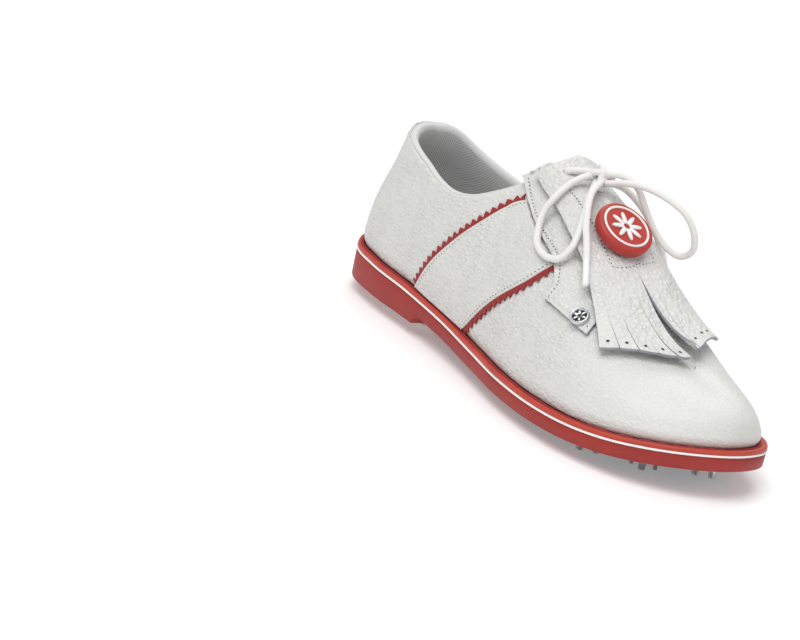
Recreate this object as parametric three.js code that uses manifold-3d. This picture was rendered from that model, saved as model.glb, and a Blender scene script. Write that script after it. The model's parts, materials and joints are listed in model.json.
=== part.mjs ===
// A right-foot women's kiltie golf shoe in millimetres: +X toe, +Y medial side, +Z up, standing on its nubs.
import * as THREE from "three";
import { mergeVertices } from "three/addons/utils/BufferGeometryUtils.js";
import Module from "manifold-3d";

const wasm = await Module();
wasm.setup();

// ---- driving dimensions -------------------------------------------------------------------------
const GAP = 0.3; // clearance between touching pieces
const LATERAL = -1;
const MEDIAL = 1;
const WELT_T = 2.2;
const MIDSOLE_T = 1.4; // the white line round the edge
const SOLE_T = 9.8; // top of the welt to the bottom of the outsole, under the forefoot
const HEEL_BOTTOM = 5.6; // height of the heel block's underside
const BREAST_X = -60; // front face of the heel block, at the bottom
const BREAST_SLANT = 5;
const PLATE_T = 2;
const PLATE_PROUD = 0.8; // how far a cleat plate stands out of the outsole
const POCKET = PLATE_T - PLATE_PROUD + GAP; // depth of the pocket that holds a cleat plate
const NUB_H = 5.4; // a nub under the forefoot, from its plate to its tip
const LEATHER = 1.6;
const OVERLAY = [0.45, 1.85]; // distances of the stitched-on layers from the leather under them
const STRIP = [1, 1.7];
const STIFFENER = [-3.2, -2.5];
const LINING = [-5, -3.9];
const TONGUE = [-8, -5.6];
const KILTIE_T = 1.4;
const LACE_D = 3.2;
const TOP_V = 0.985; // surface directions are taken no nearer the crest than this

// ---- curves -------------------------------------------------------------------------------------
const list = (value) => (Array.isArray(value) ? value : [value]);
const range = (n) => Array.from({ length: n + 1 }, (_, i) => i / n);
const mix = (a, b, t) => a + (b - a) * t;

// Smooth curve through [t, value] knots, where a value is a number or a list of them.
function spline(knots) {
  const t = knots.map((knot) => knot[0]);
  const p = knots.map((knot) => list(knot[1]));
  const last = t.length - 1;
  const rise = (i, k) => (p[i + 1][k] - p[i][k]) / (t[i + 1] - t[i]);
  const slope = p.map((point, i) =>
    point.map((_, k) => {
      if (i === 0 || i === last) return 0;
      const before = t[i] - t[i - 1];
      const after = t[i + 1] - t[i];
      return (rise(i - 1, k) * after + rise(i, k) * before) / (before + after);
    }),
  );
  slope[0] = slope[0].map((_, k) => 1.5 * rise(0, k) - 0.5 * slope[1][k]);
  slope[last] = slope[last].map((_, k) => 1.5 * rise(last - 1, k) - 0.5 * slope[last - 1][k]);
  return (at) => {
    const q = Math.min(Math.max(at, t[0]), t[last]);
    let i = 0;
    while (i < last - 1 && q >= t[i + 1]) i += 1;
    const h = t[i + 1] - t[i];
    const s = (q - t[i]) / h;
    const value = p[i].map(
      (_, k) =>
        (1 + 2 * s) * (1 - s) ** 2 * p[i][k] +
        s * (1 - s) ** 2 * h * slope[i][k] +
        s * s * (3 - 2 * s) * p[i + 1][k] +
        s * s * (s - 1) * h * slope[i + 1][k],
    );
    return value.length === 1 ? value[0] : value;
  };
}

// Straight lines between points spaced evenly over 0 to 1.
function path(points) {
  return (s) => {
    const at = Math.min(Math.max(s, 0), 1) * (points.length - 1);
    const i = Math.min(Math.floor(at), points.length - 2);
    return points[i].map((value, k) => mix(value, points[i + 1][k], at - i));
  };
}

// ---- the sole's outline and rocker --------------------------------------------------------------
const SOLE_LAT = [
  [-142, 0], [-137.5, -16.5], [-124, -29.5], [-100, -35.5], [-68, -37], [-34, -38.5], [0, -43.5],
  [34, -50], [64, -52], [94, -48.5], [118, -38], [135, -20.5], [142, 5.5],
];
const SOLE_MED = [
  [-142, 0], [-138, 15.5], [-126, 28], [-104, 34.5], [-78, 34], [-50, 31], [-20, 33],
  [10, 41.5], [40, 49], [66, 50.5], [95, 46], [119, 38], [135.5, 24], [142, 5.5],
];
// Height of the welt's top surface along the shoe.
const topZ = spline([
  [-142, 22.6], [-110, 22], [-70, 21], [-35, 18.6], [0, 16.6], [40, 16], [75, 16.4], [105, 18.2], [142, 23.5],
]);

const RING = [...SOLE_LAT, ...SOLE_MED.slice(0, -1).reverse()];
const LAPPED = [...RING.slice(-4, -1), ...RING, ...RING.slice(1, 4)];
const LENGTHS = LAPPED.reduce((sum, p, i) => {
  const before = i ? LAPPED[i - 1] : p;
  return [...sum, (i ? sum[i - 1] : 0) + Math.hypot(p[0] - before[0], p[1] - before[1])];
}, []);
const ring = spline(LAPPED.map((p, i) => [LENGTHS[i], p]));
const RING_START = LENGTHS[3];
const RING_TOE = LENGTHS[3 + SOLE_LAT.length - 1];
const RING_END = LENGTHS[3 + RING.length - 1];

// A point of the sole's outline moved inwards by inset; u runs from the heel (0) to the toe (1).
function edge(u, side, inset = 0) {
  const t = side < 0 ? mix(RING_START, RING_TOE, u) : mix(RING_END, RING_TOE, u);
  const p = ring(t);
  const a = ring(t - 0.5);
  const b = ring(t + 0.5);
  const length = Math.hypot(b[0] - a[0], b[1] - a[1]);
  return [p[0] - (inset * (b[1] - a[1])) / length, p[1] + (inset * (b[0] - a[0])) / length];
}

// ---- the upper's surface ------------------------------------------------------------------------
// Width of the welt outside the upper, then the line that each rib of the surface climbs to: a loop
// round the ankle behind, and the crest of the instep and vamp in front.
const weltWidth = spline([[0, 3.2], [0.25, 3.4], [0.5, 3.6], [0.8, 4.4], [1, 4.8]]);
const ankle = spline([
  [-0.12, [-115, 20, 112]], [0, [-126, 0, 112]], [0.12, [-115, -20, 112]], [0.25, [-92, -26, 112]],
  [0.37, [-66, -21, 112]], [0.46, [-42, 0, 107]],
]);
const CREST_START = 0.46;
const crest = spline([
  [0.46, [-42, 0, 107]], [0.55, [-16, 0, 97]], [0.66, [14, 0, 86.2]], [0.78, [46, 0.5, 68.5]],
  [0.9, [75, 2, 53.5]], [1, [97, 5.5, 45.5]],
]);
// Bezier handles of a rib: outwards and up at the welt, along the plan and down at the crest.
const lowHandle = spline([
  [0, [6, 24]], [0.25, [6, 24]], [0.45, [4.5, 26]], [0.7, [4, 26]], [0.88, [3.6, 21]], [1, [4.3, 21]],
]);
const highHandle = spline([
  [0, [-4, 40]], [0.25, [1, 40]], [0.37, [8, 26]], [0.46, [18, 5]], [0.55, [24, 1.5]],
  [0.7, [25, 0]], [0.88, [21, 0]], [1, [20, 0]],
]);
// The medial side falls away from the crest more steeply than the lateral side.
const medialReach = spline([[0, 1], [0.45, 1], [0.6, 0.85], [0.75, 0.6], [0.9, 0.5], [1, 1]]);

// Runs the ribs together smoothly round the toe.
const EASE = 0.8;
function eased(u) {
  if (u < EASE) return u;
  const s = (u - EASE) / (1 - EASE);
  return EASE + (1 - EASE) * (s + s * s - s ** 3);
}

// w runs round the shoe: 0 the heel, up to 1 down the lateral side to the toe, up to 2 back again.
function sideOf(w) {
  const turn = ((w % 2) + 2) % 2;
  return turn <= 1 ? [LATERAL, turn] : [MEDIAL, 2 - turn];
}

function surface(w, v) {
  const [side, u] = sideOf(w);
  const foot = edge(u, side, weltWidth(u));
  const out = edge(u, side, weltWidth(u) - 1);
  const g = eased(u);
  const top = g < CREST_START ? ankle(g) : crest(g);
  if (g < CREST_START && side === MEDIAL) top[1] *= -1;
  const [outwards, up] = lowHandle(g);
  const [reachAlong, down] = highHandle(g);
  const along = reachAlong * (side === MEDIAL ? medialReach(g) : 1);
  const footZ = topZ(foot[0]);
  const reach = Math.hypot(foot[0] - top[0], foot[1] - top[1]);
  const dir = [(foot[0] - top[0]) / reach, (foot[1] - top[1]) / reach];
  let fall = 0;
  if (g >= CREST_START) {
    const a = crest(Math.max(g - 0.004, CREST_START));
    const b = crest(Math.min(g + 0.004, 1));
    fall = (b[2] - a[2]) / (b[0] - a[0]);
  }
  const low = [foot[0] + (out[0] - foot[0]) * outwards, foot[1] + (out[1] - foot[1]) * outwards, footZ + up];
  const high = [top[0] + dir[0] * along, top[1] + dir[1] * along, top[2] + dir[0] * along * fall - down];
  const b = [(1 - v) ** 3, 3 * v * (1 - v) ** 2, 3 * v * v * (1 - v), v ** 3];
  const at = (k) => b[0] * [foot[0], foot[1], footZ][k] + b[1] * low[k] + b[2] * high[k] + b[3] * top[k];
  return new THREE.Vector3(at(0), at(1), at(2));
}

function outward(w, v) {
  const step = 2e-3;
  const c = Math.min(Math.max(v, step), TOP_V);
  const along = surface(w + step, c).sub(surface(w - step, c));
  const up = surface(w, c + step).sub(surface(w, c - step));
  return along.cross(up).normalize();
}

// The surface moved outwards by d.
const skin = (w, v, d) => surface(w, v).addScaledVector(outward(w, v), d);

// ---- building solids ----------------------------------------------------------------------------
// A closed solid between two matching sheets. Each grid is rows of [outer, inner] point pairs;
// corners at one place are welded, and walls join the sheets along every free edge.
function sandwich(...grids) {
  const index = new Map();
  const corners = [];
  const weld = ([outer, inner]) => {
    const key = outer.toArray().map((x) => Math.round(x * 500)).join();
    if (!index.has(key)) {
      index.set(key, corners.length);
      corners.push([outer, inner]);
    }
    return index.get(key);
  };
  const faces = [];
  const face = (...c) => {
    if (new Set(c).size === 3) faces.push(c);
  };
  for (const grid of grids) {
    const ids = grid.map((row) => row.map(weld));
    for (let i = 0; i + 1 < ids.length; i += 1) {
      for (let j = 0; j + 1 < ids[i].length; j += 1) {
        const [a, b, c, d] = [ids[i][j], ids[i + 1][j], ids[i + 1][j + 1], ids[i][j + 1]];
        face(a, b, c);
        face(a, c, d);
      }
    }
  }
  const edges = new Set(faces.flatMap(([a, b, c]) => [`${a},${b}`, `${b},${c}`, `${c},${a}`]));
  const n = corners.length;
  const triangles = faces.flatMap(([a, b, c]) => [a, b, c, a + n, c + n, b + n]);
  for (const name of edges) {
    const [a, b] = name.split(",").map(Number);
    if (!edges.has(`${b},${a}`)) triangles.push(b, a, a + n, b, a + n, b + n);
  }
  const geometry = new THREE.BufferGeometry();
  const points = [...corners.map((c) => c[0]), ...corners.map((c) => c[1])];
  geometry.setAttribute("position", new THREE.Float32BufferAttribute(points.flatMap((p) => p.toArray()), 3));
  geometry.setIndex(triangles);
  return geometry;
}

function toSolid(geometry) {
  const bare = geometry.clone();
  bare.deleteAttribute("normal");
  bare.deleteAttribute("uv");
  const merged = mergeVertices(bare, 1e-3);
  return new wasm.Manifold(
    new wasm.Mesh({
      numProp: 3,
      vertProperties: merged.attributes.position.array,
      triVerts: new Uint32Array(merged.index.array),
    }),
  );
}

function fromSolid(solid) {
  const { vertProperties, triVerts } = solid.getMesh();
  const geometry = new THREE.BufferGeometry();
  geometry.setAttribute("position", new THREE.BufferAttribute(new Float32Array(vertProperties), 3));
  geometry.setIndex(new THREE.BufferAttribute(new Uint32Array(triVerts), 1));
  return geometry;
}

const join = (...parts) => fromSolid(parts.map(toSolid).reduce((sum, part) => sum.add(part)));
const cut = (part, ...tools) =>
  fromSolid(tools.map(toSolid).reduce((left, tool) => left.subtract(tool), toSolid(part)));

// A patch of the upper: at(s, t) gives [w, v] for s and t from 0 to 1, between two depths.
function patch(at, columns, rows, [inner, outer]) {
  const grid = columns.map((s) =>
    rows.map((t) => {
      const [w, v] = at(s, t);
      return [skin(w, v, outer), skin(w, v, inner)];
    }),
  );
  return sandwich(grid);
}

// A layer of the sole: inset from the outline on each side, between two heights.
function layer(stations, insetLat, insetMed, upper, lower) {
  const grid = stations.map((u) => {
    const a = edge(u, LATERAL, insetLat(u));
    const b = edge(u, MEDIAL, insetMed(u));
    return [a, b].map(([x, y]) => [new THREE.Vector3(x, y, upper(x, y)), new THREE.Vector3(x, y, lower(x, y))]);
  });
  return sandwich(grid);
}

const always = (value) => () => value;
const below = (drop) => (x) => topZ(x) - drop;

// A round bar of the given diameter along a smooth line through the points.
function cord(points, diameter, steps, sides = 8) {
  const r = diameter / 2;
  const section = new THREE.Shape();
  for (let i = 0; i < sides; i += 1) {
    const angle = (2 * Math.PI * i) / sides;
    section[i ? "lineTo" : "moveTo"](r * Math.cos(angle), r * Math.sin(angle));
  }
  const route = new THREE.CatmullRomCurve3(points.map((p) => new THREE.Vector3(...p)), false, "centripetal");
  return new THREE.ExtrudeGeometry(section, { steps, extrudePath: route, bevelEnabled: false });
}

// Turns +Z to the given direction.
const Z_AXIS = new THREE.Vector3(0, 0, 1);
const facing = (direction) => new THREE.Quaternion().setFromUnitVectors(Z_AXIS, direction);

// ---- materials ----------------------------------------------------------------------------------
const look = (color, roughness, metalness = 0) =>
  new THREE.MeshStandardMaterial({ color, roughness, metalness });
const LEATHER_WHITE = look("#eeece6", 0.55);
const MESH_WHITE = look("#e4e4e6", 0.85);
const RUBBER_RED = look("#b23a32", 0.6);
const FELT_RED = look("#a8332c", 0.75);
const EVA_WHITE = look("#f2f0ee", 0.5);
const TPU_NAVY = look("#1f2740", 0.25);
const TPU_CLEAR = look("#d9b3ae", 0.25);
const CORK = look("#c59a6b", 0.9);
const BOARD = look("#b9ac97", 0.85);
const STEEL = look("#b9bcc0", 0.3, 1);
const LACE = look("#f4f3f0", 0.8);
const PLASTIC_WHITE = look("#f5f4f2", 0.35);

const shoe = new THREE.Group();
const KILTIE = new THREE.Group();
shoe.add(KILTIE);
function add(name, geometry, material, group = shoe) {
  const mesh = new THREE.Mesh(geometry, material);
  mesh.name = name;
  group.add(mesh);
  return mesh;
}

// ---- the sole -----------------------------------------------------------------------------------
// Stations from heel to toe, closer together round both ends.
const WHOLE = range(30).map((t) => t - 0.06 * Math.sin(2 * Math.PI * t));
const WELT_RING = 9; // how far the welt runs in under the upper

// The outsole's underside: the heel block, its slanted front, then the thin waist and forefoot.
function soleBottom(x) {
  const forefoot = topZ(x) - SOLE_T;
  const step = Math.min(Math.max((x - BREAST_X) / BREAST_SLANT, 0), 1);
  return mix(HEEL_BOTTOM, forefoot, step);
}

// Outline of the forefoot cleat plate: a notch on the lateral edge and a tail back to the heel.
const FORE_TAIL = 0.345;
const foreLat = spline([
  [FORE_TAIL, 10], [0.42, 11.5], [0.535, 13.5], [0.555, 15.5], [0.575, 12], [0.7, 10.5], [0.9, 10], [1, 10.5],
]);
const foreMed = spline([
  [FORE_TAIL, 54], [0.4, 45], [0.47, 27], [0.55, 13.5], [0.7, 10], [0.9, 10], [1, 10.5],
]);
const FORE_PLAN = [...range(26).map((t) => mix(FORE_TAIL, 1, t)), 0.535, 0.555, 0.575].sort((a, b) => a - b);

// The heel plate is a U whose legs point at the toe, with a tongue of the outsole between them.
const HEEL_RIM = 9;
const HEEL_LEG = 18.5;
const HEEL_END = 0.283; // where the legs end, before the heel's front face
const HEEL_BRIDGE = 0.09;

// The plate in the waist that carries the badge.
const SHANK_BADGE = { x: -30, y: 14, length: 25, width: 19, turn: 0.5 };

const pad = (inset, by) => (u) => inset(u) - by;
const SIDE_LENGTH = RING_TOE - RING_START;

function forePlate(grow, upper, lower) {
  const stations = FORE_PLAN.map((u, i) => (i ? u : u - grow / SIDE_LENGTH));
  return layer(stations, pad(foreLat, grow), pad(foreMed, grow), upper, lower);
}

// Both legs and the bridge, as one ring of quads from the outer rim to the inner edge.
function heelPlate(grow, upper, lower) {
  const point = (x, y) => [new THREE.Vector3(x, y, upper(x)), new THREE.Vector3(x, y, lower(x))];
  const row = (w) => {
    const [side, u] = sideOf(w);
    const end = HEEL_END + grow / SIDE_LENGTH;
    const outer = edge(Math.min(u, end), side, HEEL_RIM - grow);
    const leg = edge(Math.min(Math.max(u, HEEL_BRIDGE), end), side, HEEL_RIM + HEEL_LEG + grow);
    return [point(...outer), point(...leg)];
  };
  const turns = range(22).map((t) => mix(-HEEL_END, HEEL_END, t));
  turns[0] -= grow / SIDE_LENGTH;
  turns[turns.length - 1] += grow / SIDE_LENGTH;
  return sandwich(turns.map((w) => row(w)));
}

function oval({ x, y, length, width, turn }, grow, from, to) {
  const shape = new THREE.Shape().absellipse(0, 0, length / 2 + grow, width / 2 + grow, 0, 2 * Math.PI);
  const geometry = new THREE.ExtrudeGeometry(shape, { depth: to - from, bevelEnabled: false, curveSegments: 10 });
  return geometry.rotateZ(turn).translate(x, y, from);
}

const plateTop = (x) => soleBottom(x) + POCKET - GAP;
const plateFloor = (x) => soleBottom(x) - PLATE_PROUD;
const pocketTop = (x) => soleBottom(x) + POCKET;
const farBelow = always(-5);

const badgeZ = soleBottom(SHANK_BADGE.x);
add(
  "outsole_unit",
  cut(
    layer(WHOLE, always(0), always(0), below(WELT_T + MIDSOLE_T + 2 * GAP), soleBottom),
    forePlate(GAP, pocketTop, farBelow),
    heelPlate(GAP, pocketTop, farBelow),
    oval(SHANK_BADGE, GAP, badgeZ - 8, badgeZ + 1.6),
  ),
  RUBBER_RED,
);
add(
  "midsole_line",
  layer(WHOLE, always(-0.3), always(-0.3), below(WELT_T + GAP), below(WELT_T + GAP + MIDSOLE_T)),
  EVA_WHITE,
);

// The welt: a ring round the whole shoe with a raised bead where it meets the upper.
const BEAD = { inset: 1.9, height: 0.6 };
const AROUND = [...WHOLE, ...WHOLE.slice(0, -1).reverse().map((u) => 2 - u)];
const weltGrid = AROUND.map((w) => {
  const [side, u] = sideOf(w);
  return [0.1, BEAD.inset, WELT_RING].map((inset, k) => {
    const [x, y] = edge(u, side, inset);
    const top = topZ(x) + (k === 1 ? BEAD.height : -GAP / 2);
    return [new THREE.Vector3(x, y, k === 1 ? top : topZ(x)), new THREE.Vector3(x, y, topZ(x) - WELT_T)];
  });
});
add("welt", sandwich(weltGrid), RUBBER_RED);

// A nub cluster: claws standing round a low hub, rooted inside their plate.
const CLAW_ROOT = 1.3;
function cluster(x, y, claws, spread, height, turn, floor) {
  const hub = new THREE.CylinderGeometry(2.1, 2.6, 1.6, 6).rotateX(Math.PI / 2).translate(0, 0, -0.6);
  const pieces = [hub];
  for (let i = 0; i < claws; i += 1) {
    const claw = new THREE.CylinderGeometry(1.5, 2.6, height + CLAW_ROOT, 4).rotateX(-Math.PI / 2);
    claw.rotateZ(Math.PI / 4).scale(0.75, 1.15, 1).translate(spread, 0, (CLAW_ROOT - height) / 2);
    pieces.push(claw.rotateZ(turn + (2 * Math.PI * i) / claws));
  }
  return pieces.map((piece) => piece.translate(x, y, floor));
}

// Each row: distance along the shoe, across it, and the turn of the claws.
const FORE_CLUSTERS = [
  [119, 7, 0.2], [107, -17, 0.8], [103, 24, 0.1], [90, 3, 0.5], [82, -30, 0.2], [76, 30, 0.7], [64, -6, 0.1],
  [55, -31, 0.6], [50, 29, 0.3], [38, 3, 0.5], [25, -25, 0.1], [22, 20, 0.6], [6, -8, 0.4],
];
const TAIL_CLUSTERS = [[-3, -24.5, 0.3], [-14, -18, 0.9], [-27, -21.5, 0.6]];
const HEEL_CLUSTERS = [
  [-124, 0, 0.3], [-111, -18, 0.7], [-111, 17, 0.1], [-92, -19, 0.4], [-92, 18, 0.4], [-77, -19.5, 0.1],
  [-77, 17.5, 0.7],
];

function nubs(list, claws, spread) {
  return list.flatMap(([x, y, turn]) => {
    const floor = plateFloor(x);
    const tip = Math.max(0, floor - NUB_H);
    return cluster(x, y, claws, spread, floor - tip, turn, floor);
  });
}
add(
  "forefoot_cleat_plate",
  join(forePlate(0, plateTop, plateFloor), ...nubs(FORE_CLUSTERS, 4, 5.2), ...nubs(TAIL_CLUSTERS, 3, 3)),
  TPU_NAVY,
);
add("heel_cleat_plate", join(heelPlate(0, plateTop, plateFloor), ...nubs(HEEL_CLUSTERS, 3, 4)), TPU_CLEAR);
add("shank_badge", oval(SHANK_BADGE, 0, badgeZ - 0.7, badgeZ + 1.3), RUBBER_RED);

// Inside the welt ring: cork filler with a slot for the steel shank, then board and footbed.
const SHANK = { from: 0.235, to: 0.52, half: 7 };
const shankPlan = range(10).map((t) => mix(SHANK.from, SHANK.to, t));
function shankBar(grow, upper, lower) {
  const grid = shankPlan.map((u, i) => {
    const lat = edge(u, LATERAL);
    const med = edge(u, MEDIAL);
    const end = i === 0 ? -grow : grow * (i === shankPlan.length - 1);
    const [x, y] = [(lat[0] + med[0]) / 2 + end, (lat[1] + med[1]) / 2];
    return [-1, 1].map((k) => {
      const across = y + k * (SHANK.half + grow);
      return [new THREE.Vector3(x, across, upper(x)), new THREE.Vector3(x, across, lower(x))];
    });
  });
  return sandwich(grid);
}
add(
  "cork_filler",
  cut(
    layer(WHOLE, always(WELT_RING + GAP), always(WELT_RING + GAP), below(0), below(WELT_T)),
    shankBar(GAP, below(-4), below(8)),
  ),
  CORK,
);
add("shank_stiffener", shankBar(0, below(0.1), below(WELT_T - 0.1)), STEEL);

const INNER = (u) => weltWidth(u) + 5.8; // inset of the inside of the lining at the welt
const BOARD_T = 2;
add("insole_board", layer(WHOLE, INNER, INNER, below(-GAP - BOARD_T), below(-GAP)), BOARD);

// The footbed is flat where the heel rests, and thinner under the toes.
const FOOTBED_BASE = GAP + BOARD_T + GAP;
const HEEL_SEAT = { z: 31, from: -122, to: -84 };
function footbedTop(x, y) {
  const forward = Math.min(Math.max((x - HEEL_SEAT.to) / 70, 0), 1);
  const arch = 5 * Math.exp(-(((x + 30) / 34) ** 2)) * Math.min(Math.max((y - 6) / 20, 0), 1);
  const ease = forward * forward * (3 - 2 * forward);
  return mix(HEEL_SEAT.z, topZ(x) + FOOTBED_BASE + 4, ease) + arch;
}
const footbedInset = (u) => INNER(u) + 1.4;
const footbedGrid = WHOLE.map((u) => {
  const a = edge(u, LATERAL, footbedInset(u));
  const b = edge(u, MEDIAL, footbedInset(u));
  return range(3).map((t) => {
    const [x, y] = [mix(a[0], b[0], t), mix(a[1], b[1], t)];
    return [new THREE.Vector3(x, y, footbedTop(x, y)), new THREE.Vector3(x, y, topZ(x) + FOOTBED_BASE)];
  });
});
add("footbed", sandwich(footbedGrid), MESH_WHITE);

// ---- the upper's edges --------------------------------------------------------------------------
// Height where the surface at w reaches z.
function heightToV(w, z) {
  let [low, high] = [0, 1];
  for (let i = 0; i < 30; i += 1) {
    const middle = (low + high) / 2;
    if (surface(w, middle).z < z) low = middle;
    else high = middle;
  }
  return low;
}

// The collar's height along each side, then the throat opening, then the crest itself.
const COLLAR_END = 0.457;
const ROLL_R = 2.2; // the rolled edge round the collar
const collarZ = {
  [LATERAL]: spline([
    [0, 82], [0.08, 82.5], [0.13, 80.5], [0.2, 78], [0.25, 75.5], [0.3, 72], [0.34, 71], [0.38, 73.5],
    [0.421, 80], [COLLAR_END, 87],
  ]),
  [MEDIAL]: spline([
    [0, 82], [0.05, 81.5], [0.12, 74], [0.2, 68.5], [0.3, 68], [0.37, 73], [0.421, 80.5], [COLLAR_END, 87],
  ]),
};
const THROAT_POINT = 0.84;
const throatV = spline([
  [COLLAR_END, 0.64], [0.475, 0.76], [0.5, 0.85], [0.56, 0.86], [0.75, 0.87], [0.8, 0.9],
  [THROAT_POINT, 1],
]);

function upperEdge(w) {
  const [side, u] = sideOf(w);
  if (u >= THROAT_POINT) return 1;
  if (u >= COLLAR_END) return throatV(u);
  return heightToV(w, collarZ[side](u) - 2 * ROLL_R - 0.4);
}

// Where the vamp meets the quarter, under the saddle.
const seam = spline([[0, 0.357], [0.2, 0.408], [0.33, 0.457], [0.47, 0.51], [0.61, 0.559], [0.85, 0.6]]);
const seamU = (t) => seam(0.81 * t);
const SEAM_GAP = 0.0015;
const ROWS = 9;
const LINING_ROWS = 6;
const FOOT_V = 0.012;

// Place round the shoe of a distance u along one side.
const onSide = (side, u) => (side < 0 ? u : 2 - u);
const tight = (s, power) => Math.sign(s) * Math.abs(s) ** power; // closer stations near 0
// One column of the quarter falls exactly where the collar ends.
const COLLAR_S = (COLLAR_END / seamU(1)) ** (1 / 1.35);
const QUARTER_COLUMNS = [
  ...range(12).map((s) => s * COLLAR_S),
  ...[0.2, 0.4, 0.6, 0.8, 1].map((s) => mix(COLLAR_S, 1, s)),
];
const quarterAt = (side) => (s, t) => {
  const u = mix(SEAM_GAP / 2, seamU(t) - SEAM_GAP, tight(s, 1.35));
  const w = onSide(side, u);
  return [w, mix(FOOT_V, upperEdge(w), t)];
};
const toToe = (s) => 1 - tight(1 - s, 1.5);
function vampGrids(depths, from, to, rows, lowV = FOOT_V) {
  return [LATERAL, MEDIAL].map((side) =>
    range(to).map((s) => {
      const ordered = side < 0 ? s : 1 - s;
      return range(rows).map((t) => {
        const u = mix(from(t), 1, toToe(ordered));
        const w = onSide(side, u);
        const v = mix(lowV, upperEdge(w), t);
        return [skin(w, v, depths[1]), skin(w, v, depths[0])];
      });
    }),
  );
}

add("vamp", sandwich(...vampGrids([-LEATHER, 0], seamU, 15, ROWS)), LEATHER_WHITE);
add("vamp_lining", sandwich(...vampGrids(LINING, (t) => seamU(t) + 0.006, 13, LINING_ROWS, 0.02)), MESH_WHITE);
const PUFF = { from: 0.88, top: 0.66 };
add(
  "toe_puff",
  patch((s, t) => [mix(PUFF.from, 2 - PUFF.from, s), mix(0.02, PUFF.top, t)], range(16), range(4), STIFFENER),
  EVA_WHITE,
);
for (const [name, side] of [["quarter_lateral", LATERAL], ["quarter_medial", MEDIAL]]) {
  const columns = side < 0 ? QUARTER_COLUMNS : [...QUARTER_COLUMNS].reverse();
  add(name, patch(quarterAt(side), columns, range(ROWS), [-LEATHER, 0]), LEATHER_WHITE);
}

const liningAt = (s, t) => {
  const w = tight(s, 1.35) * (seamU(t) - 0.006);
  return [w, mix(0.02, upperEdge(w), t)];
};
const bothWays = [...QUARTER_COLUMNS.slice(1).reverse().map((s) => -s), ...QUARTER_COLUMNS];
add("lining", patch(liningAt, bothWays, range(LINING_ROWS), LINING), MESH_WHITE);
const COUNTER = { end: 0.3, top: 0.4 };
add(
  "heel_counter",
  patch((s, t) => [mix(-1, 1, s) * COUNTER.end, mix(0.02, COUNTER.top, t)], range(18), range(3), STIFFENER),
  EVA_WHITE,
);
const collarPadAt = (s, t) => {
  const w = tight(mix(-1, 1, s), 1.35) * (COLLAR_END - 0.045);
  return [w, mix(COUNTER.top + 0.02, upperEdge(w), t)];
};
add("collar_padding", patch(collarPadAt, range(20), range(3), STIFFENER), EVA_WHITE);

// The collar's rolled edge stands on the quarter, the padding and the lining.
const rollPoints = range(36).map((s) => {
  const w = mix(-1, 1, s) * (COLLAR_END - 0.014);
  const v = upperEdge(w);
  const seat = Math.max(skin(w, v, 0).z, skin(w, v, LINING[0]).z);
  const point = skin(w, v, LINING[0] / 2);
  return [point.x, point.y, seat + ROLL_R + 2 * GAP];
});
add("collar_roll", cord(rollPoints, 2 * ROLL_R, 40, 6), LEATHER_WHITE);
const heelTabAt = (s, t) => [mix(-0.075, 0.075, s) * mix(0.7, 1, t), mix(0.42, upperEdge(0) - 0.01, t)];
add("heel_tab", patch(heelTabAt, range(8), range(4), OVERLAY), LEATHER_WHITE);

// The tongue, under the throat, runs across both sides of the crest.
const tongueEnd = 0.86;
const TONGUE_TOP = 0.52;
const tongueGrid = range(10).map((s) => {
  const u = mix(TONGUE_TOP, tongueEnd, s);
  const half = mix(0.2, 0.17, s);
  return range(6).map((t) => {
    const across = mix(-half, half, t);
    const w = onSide(across < 0 ? LATERAL : MEDIAL, u);
    return [skin(w, 1 - Math.abs(across), TONGUE[1]), skin(w, 1 - Math.abs(across), TONGUE[0])];
  });
});
add("tongue", sandwich(tongueGrid), LEATHER_WHITE);

// ---- saddle, pinked strips and facings ----------------------------------------------------------
const SADDLE_UPPER = spline([
  [0, [0.289, 0.02]], [0.25, [0.325, 0.222]], [0.5, [0.378, 0.385]], [0.75, [0.434, 0.505]],
  [1, [0.495, 0.64]],
]);
const SADDLE_LOWER = spline([
  [0, [0.43, 0.02]], [0.25, [0.468, 0.176]], [0.5, [0.516, 0.293]], [0.75, [0.572, 0.424]],
  [1, [0.617, 0.561]],
]);
const TEETH = 17;
const TOOTH_DEPTH = 2.3;
const STRIP_W = 2.2; // the strip's plain part beside the saddle
const STRIP_FROM = 0.05; // clear of the welt
const saddleAt = (side) => (s, t) => {
  const a = SADDLE_UPPER(s);
  const b = SADDLE_LOWER(s);
  return [onSide(side, mix(a[0], b[0], t)), mix(a[1], b[1], t)];
};

// A strip lying on the surface beside one edge of the saddle, its far edge cut in teeth.
function pinkedStrip(line, side, away, end) {
  const count = TEETH * 2;
  const grid = range(count).map((t, i) => {
    const s = mix(STRIP_FROM, end, t);
    const at = (q, d) => {
      const [u, v] = line(Math.min(Math.max(q, 0), 1));
      return skin(onSide(side, u), v, d);
    };
    const [u, v] = line(s);
    const up = outward(onSide(side, u), v);
    const along = at(s + 0.01, 0).sub(at(s - 0.01, 0)).normalize();
    const across = along.cross(up).normalize().multiplyScalar(away * side);
    const reach = STRIP_W + (i % 2 ? TOOTH_DEPTH : 0);
    return [GAP + 0.3, reach].map((distance) =>
      [STRIP[1], STRIP[0]].map((d) => at(s, d).addScaledVector(across, distance)),
    );
  });
  return sandwich(away * side < 0 ? grid : grid.reverse());
}

const FACING_REAR = path([
  [0.464, 0.69], [0.499, 0.648], [0.556, 0.614], [0.614, 0.58], [0.627, 0.54], [0.636, 0.501], [0.628, 0.425],
]);
const FACING_FRONT = path([
  [0.478, 0.77], [0.512, 0.845], [0.56, 0.855], [0.66, 0.862], [0.752, 0.8], [0.75, 0.62], [0.735, 0.447],
]);
const facingAt = (side) => (s, t) => {
  const a = FACING_REAR(s);
  const b = FACING_FRONT(s);
  return [onSide(side, mix(a[0], b[0], t)), mix(a[1], b[1], t)];
};

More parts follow.
